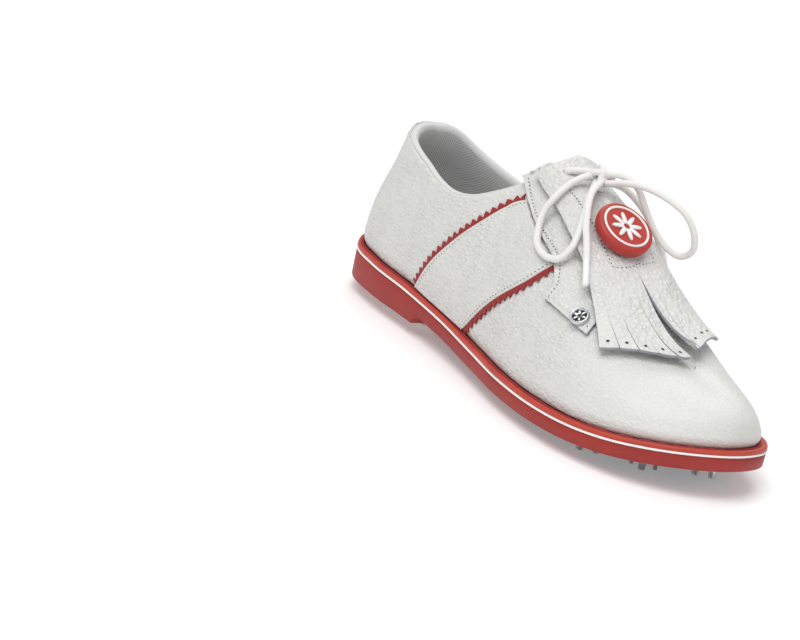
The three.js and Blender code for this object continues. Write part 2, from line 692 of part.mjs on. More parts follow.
for (const [name, side] of [["lateral", LATERAL], ["medial", MEDIAL]]) {
  const across = side < 0 ? range(5) : range(5).reverse();
  const along = side < 0 ? range(12) : range(12).reverse();
  add(`saddle_${name}`, patch((t, s) => saddleAt(side)(s, t), across, range(10), OVERLAY), LEATHER_WHITE);
  add(`pinked_strip_rear_${name}`, pinkedStrip(SADDLE_UPPER, side, 1, 0.96), FELT_RED);
  add(`pinked_strip_front_${name}`, pinkedStrip(SADDLE_LOWER, side, -1, 0.97), FELT_RED);
  add(`facing_${name}`, patch(facingAt(side), along, range(4), OVERLAY), LEATHER_WHITE);
}

// A disc, ring or stud standing on the surface at [w, v], its base at height d.
function placed(geometry, origin, direction) {
  return geometry.applyQuaternion(facing(direction)).translate(origin.x, origin.y, origin.z);
}
const RIVET = { u: 0.712, v: 0.485, r: 4.6, height: 2 };
const rivetProfile = [
  [0, 0], [RIVET.r, 0], [RIVET.r, 1.2], [RIVET.r - 0.6, RIVET.height], [RIVET.r - 1.4, RIVET.height],
  [RIVET.r - 1.6, 1.3], [0, 1.3],
];
const latheUp = (profile, segments) =>
  new THREE.LatheGeometry(profile.map(([r, z]) => new THREE.Vector2(r, z)), segments).rotateX(Math.PI / 2);
add(
  "rivet",
  placed(latheUp(rivetProfile, 20), skin(RIVET.u, RIVET.v, OVERLAY[1] + GAP + 0.3), outward(RIVET.u, RIVET.v)),
  STEEL,
);

// ---- lacing -------------------------------------------------------------------------------------
const EYELET_V = 0.812;
const EYELETS = [0.505, 0.55, 0.595, 0.64];
const EYELET_BASE = OVERLAY[1] + GAP;
const EYELET_T = 0.6;
const ROW_D = EYELET_BASE + EYELET_T + GAP + LACE_D / 2;
const ROW_ROUTE = [
  [LATERAL, EYELET_V, ROW_D], [LATERAL, 0.87, ROW_D - 0.5], [LATERAL, 1, ROW_D - 2.6],
  [MEDIAL, 0.87, ROW_D - 0.5],
  [MEDIAL, EYELET_V, ROW_D],
];
EYELETS.forEach((u, i) => {
  for (const [name, side] of [["lateral", LATERAL], ["medial", MEDIAL]]) {
    const w = onSide(side, u);
    const profile = [[1.7, 0], [3, 0], [3, EYELET_T], [1.7, EYELET_T], [1.7, 0]];
    const eyelet = placed(latheUp(profile, 10), skin(w, EYELET_V, EYELET_BASE), outward(w, EYELET_V));
    add(`eyelet_${name}_${i + 1}`, eyelet, STEEL);
  }
  const route = ROW_ROUTE.map(([side, v, d]) => skin(onSide(side, u), v, d).toArray());
  add(`lace_row_${i + 1}`, cord(route, LACE_D, 8), LACE);
});

// ---- the kiltie ---------------------------------------------------------------------------------
// A flap over the laces. a runs from its top (0) to the fringe (1), b across from -1 lateral to 1.
const KILTIE_EDGE = spline([
  [0, [0.497, 0.748]], [0.19, [0.566, 0.749]], [0.44, [0.643, 0.691]], [0.59, [0.688, 0.652]],
  [0.72, [0.719, 0.596]], [0.88, [0.751, 0.502]], [1, [0.77, 0.417]],
]);
const KILTIE_CREST = [0.548, 0.945];
const kiltieRise = spline([[0, 8], [0.12, 6.8], [0.45, 6.5], [0.6, 5.2], [0.8, 3.2], [0.93, 2.8], [1, 3.4]]);
const KILTIE_DROOP = 2.6; // how much lower its sides lie
function kiltieAt(a, b, d) {
  const [u, v] = KILTIE_EDGE(a);
  const centre = mix(KILTIE_CREST[0], KILTIE_CREST[1], a);
  const w = onSide(b < 0 ? LATERAL : MEDIAL, centre + (u - centre) * Math.abs(b) ** 1.6);
  const depth = 1 - (1 - v) * Math.abs(b);
  const rise = kiltieRise(a) - KILTIE_DROOP * b ** 10 * (1 - a);
  return { point: skin(w, depth, rise + d), normal: outward(w, depth) };
}
const STRIPS = 10;
const FRINGE = 0.64; // where the cuts begin
const CUT = 0.08; // half the width of a cut at the fringe's end, as a share of a strip
// The edges of the strips in b, for strips that are about as wide as each other.
const STRIP_EDGES = [-1, -0.886, -0.76, -0.61, -0.43, -0.12, 0.3, 0.566, 0.74, 0.877, 1];
const kiltiePair = (a, b) => [kiltieAt(a, b, KILTIE_T).point, kiltieAt(a, b, 0).point];
const tops = range(6).map((t) => mix(0, FRINGE, t));
const halved = STRIP_EDGES.slice(1).flatMap((b, i) => [STRIP_EDGES[i], mix(STRIP_EDGES[i], b, 0.5)]);
const columns = [...halved, 1];
const kiltieGrids = [tops.map((a) => columns.map((b) => kiltiePair(a, b)))];
for (let i = 0; i < STRIPS; i += 1) {
  const [left, right] = [columns[2 * i], columns[2 * i + 2]];
  kiltieGrids.push(
    range(4).map((t) => {
      const a = mix(FRINGE, 1, t);
      const open = CUT * t * (right - left);
      const from = left + (i === 0 ? 0 : open);
      const to = right - (i === STRIPS - 1 ? 0 : open);
      return [from, (from + to) / 2, to].map((b) => kiltiePair(a, b));
    }),
  );
}
const HOLE = { a: 0.06, b: 0.42, r: 2.1 };
const holeTool = (b) => {
  const { point, normal } = kiltieAt(HOLE.a, b, KILTIE_T / 2);
  return placed(new THREE.CylinderGeometry(HOLE.r, HOLE.r, 8, 12).rotateX(Math.PI / 2), point, normal);
};
add("kiltie", cut(sandwich(...kiltieGrids), holeTool(-HOLE.b), holeTool(HOLE.b)), LEATHER_WHITE, KILTIE);
const patchGrid = range(6).map((s) =>
  range(6).map((t) => {
    const [a, b] = [mix(0.3, 0.58, s), mix(-0.5, 0.5, t)];
    return [kiltieAt(a, b, -0.5).point, kiltieAt(a, b, -1).point];
  }),
);
add("kiltie_backing", sandwich(patchGrid), LEATHER_WHITE, KILTIE);

// The badge: a thick disc with a raised ring and an eight-petalled flower.
const BADGE = {
  a: 0.42, b: -0.2, r: 14, height: 4, ring: [10.4, 12], relief: 0.7, petals: 8, tilt: [0.53, 0.03, 0.85],
};
const BADGE_LIFT = 2.1; // the flat disc clears the kiltie's curve
const badgeUp = new THREE.Vector3(...BADGE.tilt).normalize();
const badgeSeat = kiltieAt(BADGE.a, BADGE.b, KILTIE_T + GAP + BADGE_LIFT).point;
const badgeAt = (lift) => badgeSeat.clone().addScaledVector(badgeUp, lift);
const discProfile = [
  [0, 0], [BADGE.r - 0.4, 0], [BADGE.r, 0.6], [BADGE.r, BADGE.height - 0.9], [BADGE.r - 0.9, BADGE.height],
  [0, BADGE.height],
];
add("badge_disc", placed(latheUp(discProfile, 32), badgeAt(0), badgeUp), RUBBER_RED, KILTIE);
const [RING_IN, RING_OUT] = BADGE.ring;
const ringProfile = [
  [RING_IN, 0], [RING_OUT, 0], [RING_OUT, BADGE.relief], [RING_IN, BADGE.relief], [RING_IN, 0],
];
const badgeFace = badgeAt(BADGE.height + GAP / 3);
add("badge_ring", placed(latheUp(ringProfile, 32), badgeFace, badgeUp), PLASTIC_WHITE, KILTIE);
const flower = new THREE.Shape();
const FLOWER_STEPS = 48;
for (let i = 0; i < FLOWER_STEPS; i += 1) {
  const angle = (2 * Math.PI * i) / FLOWER_STEPS;
  const reach = 5.4 + 2.6 * Math.cos(BADGE.petals * angle);
  flower[i ? "lineTo" : "moveTo"](reach * Math.cos(angle), reach * Math.sin(angle));
}
flower.holes.push(new THREE.Path().absarc(0, 0, 1.6, 0, 2 * Math.PI, true));
const flowerSolid = new THREE.ExtrudeGeometry(flower, {
  depth: BADGE.relief, bevelEnabled: false, curveSegments: 6,
});
add("badge_flower", placed(flowerSolid, badgeFace, badgeUp), PLASTIC_WHITE, KILTIE);

// ---- the bow ------------------------------------------------------------------------------------
// Each half of the lace comes up through the kiltie, passes the knot, loops, and ends in an aglet.
const KNOT = new THREE.Vector3(8.5, -0.9, 102.4);
const KNOT_R = 3.9;
const AGLET_L = 15;
const fromKnot = (x, y, z) => new THREE.Vector3(x, y, z).setLength(KNOT_R + 1.3).add(KNOT).toArray();
const holeStart = (b) => kiltieAt(HOLE.a, b, KILTIE_T + GAP + LACE_D / 2 + 0.3).point.toArray();
const BOW = {
  lateral: {
    run: [holeStart(-HOLE.b), [0, -5.5, 102.4], fromKnot(-0.95, -0.25, 0.1)],
    loop: [
      fromKnot(-0.35, -0.93, 0.1), [4.5, -13, 98.4], [5.5, -22, 90.6], [4.6, -24.6, 84.3],
      [6.2, -27, 78.2], [13.2, -30.8, 71.6],
      [22.6, -32, 69.4], [30.6, -30.5, 71.1], [32.9, -27, 76.6], [31.8, -24.3, 81.6],
      [28.5, -20.8, 86.5], [17, -11.3, 95.2],
      fromKnot(0.35, -0.75, -0.55),
    ],
    end: [
      fromKnot(0.8, -0.55, -0.1), [20.8, -13.8, 98.4], [32.3, -21.3, 88.1], [38.7, -23.3, 81.1],
      [44.1, -25.5, 75.1],
    ],
    aglet: [55.2, -31.3, 67],
  },
  medial: {
    run: [holeStart(HOLE.b), [1, 4.6, 103.4], fromKnot(-0.8, 0.55, 0.2)],
    loop: [
      fromKnot(0.75, 0.25, 0.6), [17.5, 5, 106.4], [23, 9, 103.4], [27.5, 13, 95], [32.5, 16, 87.5], [39, 20.5, 81],
      [44.7, 25, 78.8], [49.8, 27, 83.2], [50.3, 25.5, 91.2], [46.8, 21, 99.3], [38.7, 14, 104.3],
      [28.3, 8, 105.6],
      [19.5, 3.4, 103.9], fromKnot(0.98, 0.1, -0.15),
    ],
    end: [
      fromKnot(0.6, 0.75, -0.25), [13.4, 9.5, 99.4], [15.4, 17, 94.2], [17.4, 23.9, 87],
      [19.2, 29.6, 79], [20.8, 34.4, 70.5],
    ],
    aglet: [22.6, 39, 58.5],
  },
};
for (const [name, { run, loop, end, aglet }] of Object.entries(BOW)) {
  add(`bow_run_${name}`, cord(run, LACE_D, 5), LACE, KILTIE);
  add(`bow_loop_${name}`, cord(loop, LACE_D, 22), LACE, KILTIE);
  add(`bow_end_${name}`, cord(end, LACE_D, 8), LACE, KILTIE);
  const from = new THREE.Vector3(...end[end.length - 1]);
  const along = new THREE.Vector3(...aglet).sub(from).normalize();
  const tip = latheUp([[0, 0], [1.5, 0], [1.5, AGLET_L - 1], [1, AGLET_L], [0, AGLET_L]], 10);
  add(`aglet_${name}`, placed(tip, from.addScaledVector(along, GAP + 0.5), along), PLASTIC_WHITE, KILTIE);
}
const knotSolid = new THREE.SphereGeometry(KNOT_R, 12, 8).scale(1, 0.95, 0.95);
add("bow_knot", knotSolid.translate(...KNOT.toArray()), LACE, KILTIE);

export default shoe;
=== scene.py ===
"""Looks of a women's kiltie golf shoe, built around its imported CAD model.

The shoe's surface is the formula of the CAD source: w runs round the shoe (0 the heel, up to 1 down the lateral side
to the toe, up to 2 back along the medial side) and v climbs from the welt (0) to the crest (1). Shapes are worked out
in millimetres and scaled when a mesh is made.
"""
import json
from math import pi, radians

import bmesh
import bpy
import numpy as np
from mathutils import Matrix, Vector

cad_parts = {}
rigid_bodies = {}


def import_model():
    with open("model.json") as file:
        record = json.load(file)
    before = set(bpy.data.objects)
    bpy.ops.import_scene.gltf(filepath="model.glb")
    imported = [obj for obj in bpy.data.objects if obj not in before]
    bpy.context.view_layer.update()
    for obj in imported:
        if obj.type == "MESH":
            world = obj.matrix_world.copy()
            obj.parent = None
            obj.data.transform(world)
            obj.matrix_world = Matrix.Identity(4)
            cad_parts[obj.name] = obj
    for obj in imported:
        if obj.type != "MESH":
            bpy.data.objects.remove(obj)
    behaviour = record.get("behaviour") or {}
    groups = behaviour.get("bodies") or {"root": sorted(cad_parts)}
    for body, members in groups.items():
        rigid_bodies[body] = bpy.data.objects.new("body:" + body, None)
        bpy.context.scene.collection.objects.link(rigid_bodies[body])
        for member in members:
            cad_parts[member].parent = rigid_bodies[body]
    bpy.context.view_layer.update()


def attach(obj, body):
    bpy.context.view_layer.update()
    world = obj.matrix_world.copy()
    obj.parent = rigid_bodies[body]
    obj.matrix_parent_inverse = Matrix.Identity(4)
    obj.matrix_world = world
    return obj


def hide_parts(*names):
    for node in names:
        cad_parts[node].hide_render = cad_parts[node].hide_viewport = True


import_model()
MM = 0.001
LATERAL, MEDIAL = -1, 1
SIDES = {"lateral": LATERAL, "medial": MEDIAL}


# ---- camera ----
CAMERA_PLACE = (1.9721, -1.5179, 0.7542)
CAMERA_LOOK, CAMERA_UP = (-0.7756, 0.5632, -0.2852), (-0.3571, -0.0189, 0.9339)
LENS, SENSOR = 256.5, 36


def place_object(name, data):
    thing = bpy.data.objects.new(name, data)
    bpy.context.collection.objects.link(thing)
    return thing


def make_camera():
    data = bpy.data.cameras.new("camera")
    data.sensor_width, data.lens = SENSOR, LENS
    data.clip_start, data.clip_end = 0.05, 60
    look = Vector(CAMERA_LOOK).normalized()
    right = look.cross(Vector(CAMERA_UP)).normalized()
    turn = Matrix((right, right.cross(look), -look)).transposed().to_4x4()
    camera = place_object("camera", data)
    camera.matrix_world = Matrix.Translation(CAMERA_PLACE) @ turn
    bpy.context.scene.camera = camera


make_camera()


# ---- curves ----
def spline(knots):
    """Smooth curve through (t, value) knots, for arrays of t."""
    t = np.array([k[0] for k in knots], float)
    p = np.array([np.atleast_1d(k[1]) for k in knots], float)
    gap = np.diff(t)[:, None]
    rise = np.diff(p, axis=0) / gap
    m = np.zeros_like(p)
    m[1:-1] = (rise[:-1] * gap[1:] + rise[1:] * gap[:-1]) / (gap[:-1] + gap[1:])
    m[0] = 1.5 * rise[0] - 0.5 * m[1]
    m[-1] = 1.5 * rise[-1] - 0.5 * m[-2]

    def at(q):
        q = np.clip(np.asarray(q, float), t[0], t[-1])
        i = np.clip(np.searchsorted(t, q, side="right") - 1, 0, len(t) - 2)
        h = (t[i + 1] - t[i])[..., None]
        s = (q - t[i])[..., None] / h
        value = (1 + 2 * s) * (1 - s) ** 2 * p[i] + s * (1 - s) ** 2 * h * m[i]
        value = value + s * s * (3 - 2 * s) * p[i + 1] + s * s * (s - 1) * h * m[i + 1]
        return value if p.shape[1] > 1 else value[..., 0]

    return at


def travelled(points):
    """Distance along a line at each of its points."""
    return np.concatenate([[0], np.cumsum(np.linalg.norm(np.diff(points, axis=0), axis=1))])


def sample(at, known, points):
    """Points of a line at places between the known ones."""
    return np.stack([np.interp(at, known, column) for column in points.T], -1)


def path(points):
    """Straight lines between points spaced evenly over 0 to 1."""
    p = np.array(points, float)
    return lambda s: sample(s, span(len(p)), p)


def through(points, step):
    """Points a step apart on a smooth line through the given ones, and its length."""
    p = np.array(points, float)
    t = np.concatenate([[0], np.cumsum(np.linalg.norm(np.diff(p, axis=0), axis=1) ** 0.5)])
    dense = spline(list(zip(t, p)))(np.linspace(0, t[-1], 60 * len(p)))
    far = travelled(dense)
    return sample(np.linspace(0, far[-1], max(3, int(far[-1] / step) + 1)), far, dense), far[-1]


def span(count):
    """Numbers from 0 to 1."""
    return np.linspace(0, 1, count)


def mix(a, b, t):
    return a + (b - a) * t


def smooth(t, low=0.0, high=1.0):
    s = np.clip((np.asarray(t, float) - low) / (high - low), 0, 1)
    return s * s * (3 - 2 * s)


def bell(t, middle, width):
    return np.exp(-(((t - middle) / width) ** 2))


def with_z(plan, z):
    """Points over a plan at a height or heights."""
    return np.concatenate([plan, np.broadcast_to(z, plan.shape[:-1])[..., None]], -1)


def unit(v):
    return v / np.linalg.norm(v, axis=-1, keepdims=True)


def circle(count):
    return np.linspace(0, 2 * pi, count, endpoint=False)


def round_about(angles, a, b):
    """A circle's or an oval's points about the origin, a and b its two half axes."""
    return np.cos(angles)[:, None] * a + np.sin(angles)[:, None] * b


# ---- the shoe's surface, as in the CAD source ----
SOLE_LAT = [
    (-142, 0), (-137.5, -16.5), (-124, -29.5), (-100, -35.5), (-68, -37), (-34, -38.5), (0, -43.5),
    (34, -50), (64, -52), (94, -48.5), (118, -38), (135, -20.5), (142, 5.5),
]
SOLE_MED = [
    (-142, 0), (-138, 15.5), (-126, 28), (-104, 34.5), (-78, 34), (-50, 31), (-20, 33),
    (10, 41.5), (40, 49), (66, 50.5), (95, 46), (119, 38), (135.5, 24), (142, 5.5),
]
top_z = spline([
    (-142, 22.6), (-110, 22), (-70, 21), (-35, 18.6), (0, 16.6), (40, 16), (75, 16.4), (105, 18.2), (142, 23.5),
])
RING = np.array(SOLE_LAT + SOLE_MED[:-1][::-1], float)
LAPPED = np.concatenate([RING[-4:-1], RING, RING[1:4]])
LENGTHS = travelled(LAPPED)
ring = spline(list(zip(LENGTHS, LAPPED)))
RING_START, RING_END = LENGTHS[3], LENGTHS[3 + len(RING) - 1]
RING_TOE = LENGTHS[3 + len(SOLE_LAT) - 1]


def edge(u, side, inset=0.0):
    """The sole's outline moved inwards by inset; u runs from the heel (0) to the toe (1)."""
    u, side, inset = np.broadcast_arrays(np.asarray(u, float), np.asarray(side, float), inset)
    t = np.where(side < 0, mix(RING_START, RING_TOE, u), mix(RING_END, RING_TOE, u))
    d = unit(ring(t + 0.5) - ring(t - 0.5))
    return ring(t) + inset[..., None] * np.stack([-d[..., 1], d[..., 0]], -1)


welt_width = spline([(0, 3.2), (0.25, 3.4), (0.5, 3.6), (0.8, 4.4), (1, 4.8)])
ankle = spline([
    (-0.12, (-115, 20, 112)), (0, (-126, 0, 112)), (0.12, (-115, -20, 112)), (0.25, (-92, -26, 112)),
    (0.37, (-66, -21, 112)), (0.46, (-42, 0, 107)),
])
CREST_START = 0.46
crest = spline([
    (0.46, (-42, 0, 107)), (0.55, (-16, 0, 97)), (0.66, (14, 0, 86.2)), (0.78, (46, 0.5, 68.5)),
    (0.9, (75, 2, 53.5)), (1, (97, 5.5, 45.5)),
])
low_handle = spline([
    (0, (6, 24)), (0.25, (6, 24)), (0.45, (4.5, 26)), (0.7, (4, 26)), (0.88, (3.6, 21)), (1, (4.3, 21)),
])
high_handle = spline([
    (0, (-4, 40)), (0.25, (1, 40)), (0.37, (8, 26)), (0.46, (18, 5)), (0.55, (24, 1.5)),
    (0.7, (25, 0)), (0.88, (21, 0)), (1, (20, 0)),
])
medial_reach = spline([(0, 1), (0.45, 1), (0.6, 0.85), (0.75, 0.6), (0.9, 0.5), (1, 1)])
EASE, TOP_V = 0.8, 0.985


def side_of(w):
    turn = np.mod(w, 2.0)
    return np.where(turn <= 1, LATERAL, MEDIAL), np.where(turn <= 1, turn, 2 - turn)


def on_side(side, u):
    return np.where(np.asarray(side) < 0, u, 2 - u)


def put(side, place):
    """(w, v) of (u, v) places on one side."""
    return on_side(side, place[..., 0]), place[..., 1]


def surface(w, v):
    w, v = np.broadcast_arrays(np.asarray(w, float), np.asarray(v, float))
    side, u = side_of(w)
    foot, out = edge(u, side, welt_width(u)), edge(u, side, welt_width(u) - 1)
    s = np.clip((u - EASE) / (1 - EASE), 0, 1)
    g = np.where(u < EASE, u, EASE + (1 - EASE) * (s + s * s - s ** 3))
    rear = ankle(g)
    rear[..., 1] *= -side
    top = np.where((g >= CREST_START)[..., None], crest(g), rear)
    low, high = low_handle(g), high_handle(g)
    along = high[..., :1] * np.where(side > 0, medial_reach(g), 1.0)[..., None]
    foot_z = top_z(foot[..., 0])
    direction = unit(foot - top[..., :2])
    a, b = crest(np.maximum(g - 0.004, CREST_START)), crest(np.minimum(g + 0.004, 1))
    fall = (b - a)[..., 2:] / np.maximum((b - a)[..., :1], 1e-6) * smooth(g, CREST_START, 0.53)[..., None]
    low_point = with_z(foot + (out - foot) * low[..., :1], foot_z + low[..., 1])
    high_z = top[..., 2:] + direction[..., :1] * along * fall - high[..., 1:]
    high_point = with_z(top[..., :2] + direction * along, high_z[..., 0])
    v, base = v[..., None], with_z(foot, foot_z)
    return (1 - v) ** 3 * base + 3 * v * (1 - v) ** 2 * low_point + 3 * v * v * (1 - v) * high_point + v ** 3 * top


def slopes(w, v):
    step = 2e-3
    c = np.clip(v, step, TOP_V)
    along = (surface(w + step, c) - surface(w - step, c)) / (2 * step)
    return along, (surface(w, c + step) - surface(w, c - step)) / (2 * step)


def outward(w, v):
    """Outward normal; near the crest the two sides' normals run together."""
    w, v = np.broadcast_arrays(np.asarray(w, float), np.asarray(v, float))
    own, other = unit(np.cross(*slopes(w, v))), unit(np.cross(*slopes(2 - w, v)))
    _, u = side_of(w)
    return unit(mix(own, other, (0.5 * smooth(v, 0.86, 1) * (u > CREST_START))[..., None]))


def skin(w, v, d):
    """The surface moved outwards by d."""
    return surface(w, v) + np.asarray(d, float)[..., None] * outward(w, v)


def height_to_v(w, z):
    low, high = np.zeros_like(w), np.ones_like(w)
    for _ in range(24):
        middle = (low + high) / 2
        under = surface(w, middle)[..., 2] < z
        low, high = np.where(under, middle, low), np.where(under, high, middle)
    return low


# ---- making meshes ----
def make_object(name, nodes, points, faces, materials, body="shoe", picks=None, uv=None):
    """A piece from points in millimetres that rides on a body and stands for CAD nodes."""
    mesh = bpy.data.meshes.new(name)
    mesh.from_pydata((np.asarray(points, float).reshape(-1, 3) * MM).tolist(), [], faces)
    mesh.polygons.foreach_set("use_smooth", [True] * len(mesh.polygons))
    for material in materials:
        mesh.materials.append(material)
    if picks is not None:
        mesh.polygons.foreach_set("material_index", picks)
    piece = place_object(name, mesh)
    if uv is not None:
        lay_uv(piece, uv)
    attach(piece, body)
    materials[0].name in SLOT_OF
    if nodes:
        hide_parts(*nodes)
    return piece


def lay_uv(piece, uv):
    """Cloth coordinates, given for each vertex."""
    mesh = piece.data
    corners = np.zeros(len(mesh.loops), int)
    mesh.loops.foreach_get("vertex_index", corners)
    mesh.uv_layers.new(name="cloth").data.foreach_set("uv", np.asarray(uv, np.float32)[corners].ravel())


def quads(n, m, wrap_n=False, wrap_m=False):
    i, j = np.meshgrid(np.arange(n if wrap_n else n - 1), np.arange(m if wrap_m else m - 1), indexing="ij")
    i, j = i.ravel(), j.ravel()
    k, l = (i + 1) % n, (j + 1) % m
    return np.stack([i * m + j, k * m + j, k * m + l, i * m + l], -1)


def in_mm(grid):
    """Distances along the grid's two directions, for a weave that follows the cloth."""
    along = np.linalg.norm(np.diff(grid, axis=0), axis=-1).mean(axis=1)
    across = np.linalg.norm(np.diff(grid, axis=1), axis=-1).mean(axis=0)
    x, y = (np.concatenate([[0], np.cumsum(steps)]) for steps in (along, across))
    return np.stack(np.meshgrid(x, y, indexing="ij"), -1).reshape(-1, 2)


def weld(piece, distance):
    b = bmesh.new()
    b.from_mesh(piece.data)
    bmesh.ops.remove_doubles(b, verts=b.verts, dist=distance * MM)
    b.to_mesh(piece.data)
    b.free()


def round_edges(piece, width, segments=2, angle=40):
    bevel = piece.modifiers.new("round", "BEVEL")
    bevel.width, bevel.segments = width * MM, segments
    bevel.limit_method, bevel.angle_limit = "ANGLE", radians(angle)


def leaf(name, nodes, grids, out, materials, thickness, rounding=0.3, body="shoe", cloth=False, merge=0.0):
    """A thin sheet: grids of its outer side, thickened inwards. out is the outward direction of the first grid."""
    first = grids[0]
    i, j = first.shape[0] // 2 - 1, first.shape[1] // 2 - 1
    normal = np.cross(first[i + 1, j] - first[i, j], first[i, j + 1] - first[i, j])
    flip = np.dot(normal, out[i, j]) < 0
    faces, start = [], 0
    for grid in grids:
        f = quads(*grid.shape[:2])
        faces += ((f[:, ::-1] if flip else f) + start).tolist()
        start += grid.shape[0] * grid.shape[1]
    points = np.concatenate([grid.reshape(-1, 3) for grid in grids])
    uv = np.concatenate([in_mm(grid) for grid in grids]) if cloth else None
    piece = make_object(name, nodes, points, faces, materials, body, uv=uv)
    if len(grids) > 1 or merge:
        weld(piece, merge or 0.02)
    solidify = piece.modifiers.new("thickness", "SOLIDIFY")
    solidify.thickness, solidify.offset = thickness * MM, -1
    solidify.material_offset_rim = len(materials) - 1
    if rounding:
        round_edges(piece, rounding)
    return piece


def patch(name, node, w, v, d, materials, thickness, rounding=0.3):
    """A leaf on the shoe's surface, its outer side at d."""
    return leaf(name, [node], [skin(w, v, d)], outward(w, v), materials, thickness, rounding)


def solid(sections, pick=0):
    """(points, faces, material index) of matching closed sections, closed at both ends."""
    n, m = np.shape(sections)[:2]
    ends = [list(range(m))[::-1], [(n - 1) * m + k for k in range(m)]]
    return sections, quads(n, m, wrap_m=True).tolist() + ends, pick


def hoop(sections, pick=0):
    """The same for sections that run round into a ring."""
    return sections, quads(*np.shape(sections)[:2], True, True).tolist(), pick


def loft(name, nodes, sections, materials, body="shoe", uv=None):
    return make_object(name, nodes, *solid(sections)[:2], materials, body, uv=uv)


def joined(name, nodes, parts, materials, body="shoe"):
    """One piece out of several solids and hoops."""
    points, faces, picks, start = [], [], [], 0
    for p, f, pick in parts:
        points.append(np.asarray(p, float).reshape(-1, 3))
        faces += [[k + start for k in face] for face in f]
        picks += [pick] * len(f)
        start += len(points[-1])
    return make_object(name, nodes, np.concatenate(points), faces, materials, body, picks)


def turned(profile, segments, origin, up):
    """Sections of a lathed solid whose axis runs from origin along up; the profile is (radius, height)."""
    up = unit(np.asarray(up, float))
    side = unit(np.cross(up, [0.3, 1, 0.1]))
    spokes = round_about(circle(segments), side, np.cross(up, side))
    profile = np.asarray(profile, float)
    return origin + profile[:, 0, None, None] * spokes + profile[:, 1, None, None] * up


def tube_sections(points, radius, sides=14):
    """Round sections along a line, turned as little as possible from one to the next."""
    tangent = unit(np.gradient(points, axis=0))
    normal = unit(np.cross(tangent[0], [0.2, 0.4, 1.0]))
    rows = []
    for p, t in zip(points, tangent):
        normal = unit(normal - np.dot(normal, t) * t)
        rows.append(p + radius * round_about(circle(sides), normal, np.cross(t, normal)))
    return np.array(rows)


def tube(name, nodes, points, radius, materials, body="shoe", sides=14):
    around = np.abs(np.linspace(-1, 1, sides, endpoint=False)) * 2
    uv = np.stack(np.meshgrid(travelled(points), around, indexing="ij"), -1).reshape(-1, 2)
    return loft(name, nodes, tube_sections(points, radius, sides), materials, body, uv)


def between(a, b, count):
    """Rows of points from each point of a to its partner in b."""
    t = span(count)[None, :, None]
    return a[:, None] * (1 - t) + b[:, None] * t


def slab(plan, top, bottom):
    """Sections of a solid over a plan, between two heights."""
    return np.concatenate([with_z(plan, top), with_z(plan, bottom)[:, ::-1]], 1)


# ---- materials ----
class Value:
    """A node's output, with the sums that materials need."""

    def __init__(self, look, socket):
        self.look, self.socket = look, socket

    def __add__(self, other):
        return self.look.math("ADD", self, other)

    def __sub__(self, other):
        return self.look.math("SUBTRACT", self, other)

    def __mul__(self, other):
        return self.look.math("MULTIPLY", self, other)

    def ramp(self, low, high, to_low=0.0, to_high=1.0):
        inputs = {"Value": self, "From Min": low, "From Max": high, "To Min": to_low, "To Max": to_high}
        return self.look.add("MapRange", "Result", inputs, interpolation_type="SMOOTHSTEP")


class Look:
    """A material and short calls that add nodes to it."""

    def __init__(self, name, color, roughness, specular=0.5, **more):
        self.material = bpy.data.materials.new(name)
        self.material.use_nodes = True
        self.tree = self.material.node_tree
        self.shader = self.tree.nodes["Principled BSDF"]
        values = {"base_color": color, "roughness": roughness, "specular_ior_level": specular, **more}
        for key, value in values.items():
            self.feed(self.shader, key.replace("_", " ").title().replace("Ior", "IOR"), value)
        self.place = self.add("TexCoord", "Object")

    def feed(self, node, key, value):
        """Give a node's input a number or a colour, or link it to a value."""
        socket = node.inputs[key]
        if isinstance(value, Value):
            self.tree.links.new(value.socket, socket)
        else:
            socket.default_value = (*value[:3], 1.0) if socket.type == "RGBA" else value

    def add(self, kind, output, inputs=None, **settings):
        node = self.tree.nodes.new("ShaderNode" + kind)
        for key, value in settings.items():
            setattr(node, key, value)
        for key, value in (inputs or {}).items():
            self.feed(node, key, value)
        return Value(self, node.outputs[output])

    def math(self, operation, a, b=0.0):
        return self.add("Math", 0, {0: a, 1: b}, operation=operation)

    def vector(self, operation, a, b=(0, 0, 0), scale=1.0):
        return self.add("VectorMath", 0, {0: a, 1: b, 3: scale}, operation=operation)

    def axis(self, vector, letter):
        return self.add("SeparateXYZ", letter, {"Vector": vector})

    def noise(self, scale, detail=2.0, place=None, output="Fac"):
        return self.add("TexNoise", output, {"Vector": place or self.place, "Scale": scale, "Detail": detail})

    def cells(self, size, feature, place=None, **inputs):
        values = {"Vector": place or self.place, "Scale": 1000 / size, **inputs}
        return self.add("TexVoronoi", "Distance", values, feature=feature)

    def blend(self, share, a, b):
        return self.add("Mix", 2, {0: share, 6: a, 7: b}, data_type="RGBA")

    def color(self, share, a, b):
        self.feed(self.shader, "Base Color", self.blend(share, a, b))

    def rough(self, value, low, high):
        self.feed(self.shader, "Roughness", value.ramp(0.3, 0.7, low, high))

    def relief(self, height, distance, strength=1.0):
        inputs = {"Height": height, "Distance": distance * MM, "Strength": strength}
        self.feed(self.shader, "Normal", self.add("Bump", "Normal", inputs))

    def warped(self, scale, amount):
        """The object's coordinates, pushed about by noise."""
        cloud = self.noise(scale, 1.0, output="Color")
        push = self.vector("SCALE", self.vector("SUBTRACT", cloud, (0.5, 0.5, 0.5)), scale=amount * MM)
        return self.vector("ADD", self.place, push)

    def woven(self, pitch, stretch=1.0):
        """Strands crossing both ways over the cloth's own coordinates: 0 between them, 1 on top."""
        cloth = self.add("UVMap", "UV", uv_map="cloth")
        x, y = self.axis(cloth, "X"), self.axis(cloth, "Y") * stretch
        a, b = (self.math("SINE", way * (pi / pitch)) for way in (x + y, x - y))
        return self.math("ABSOLUTE", a * b)


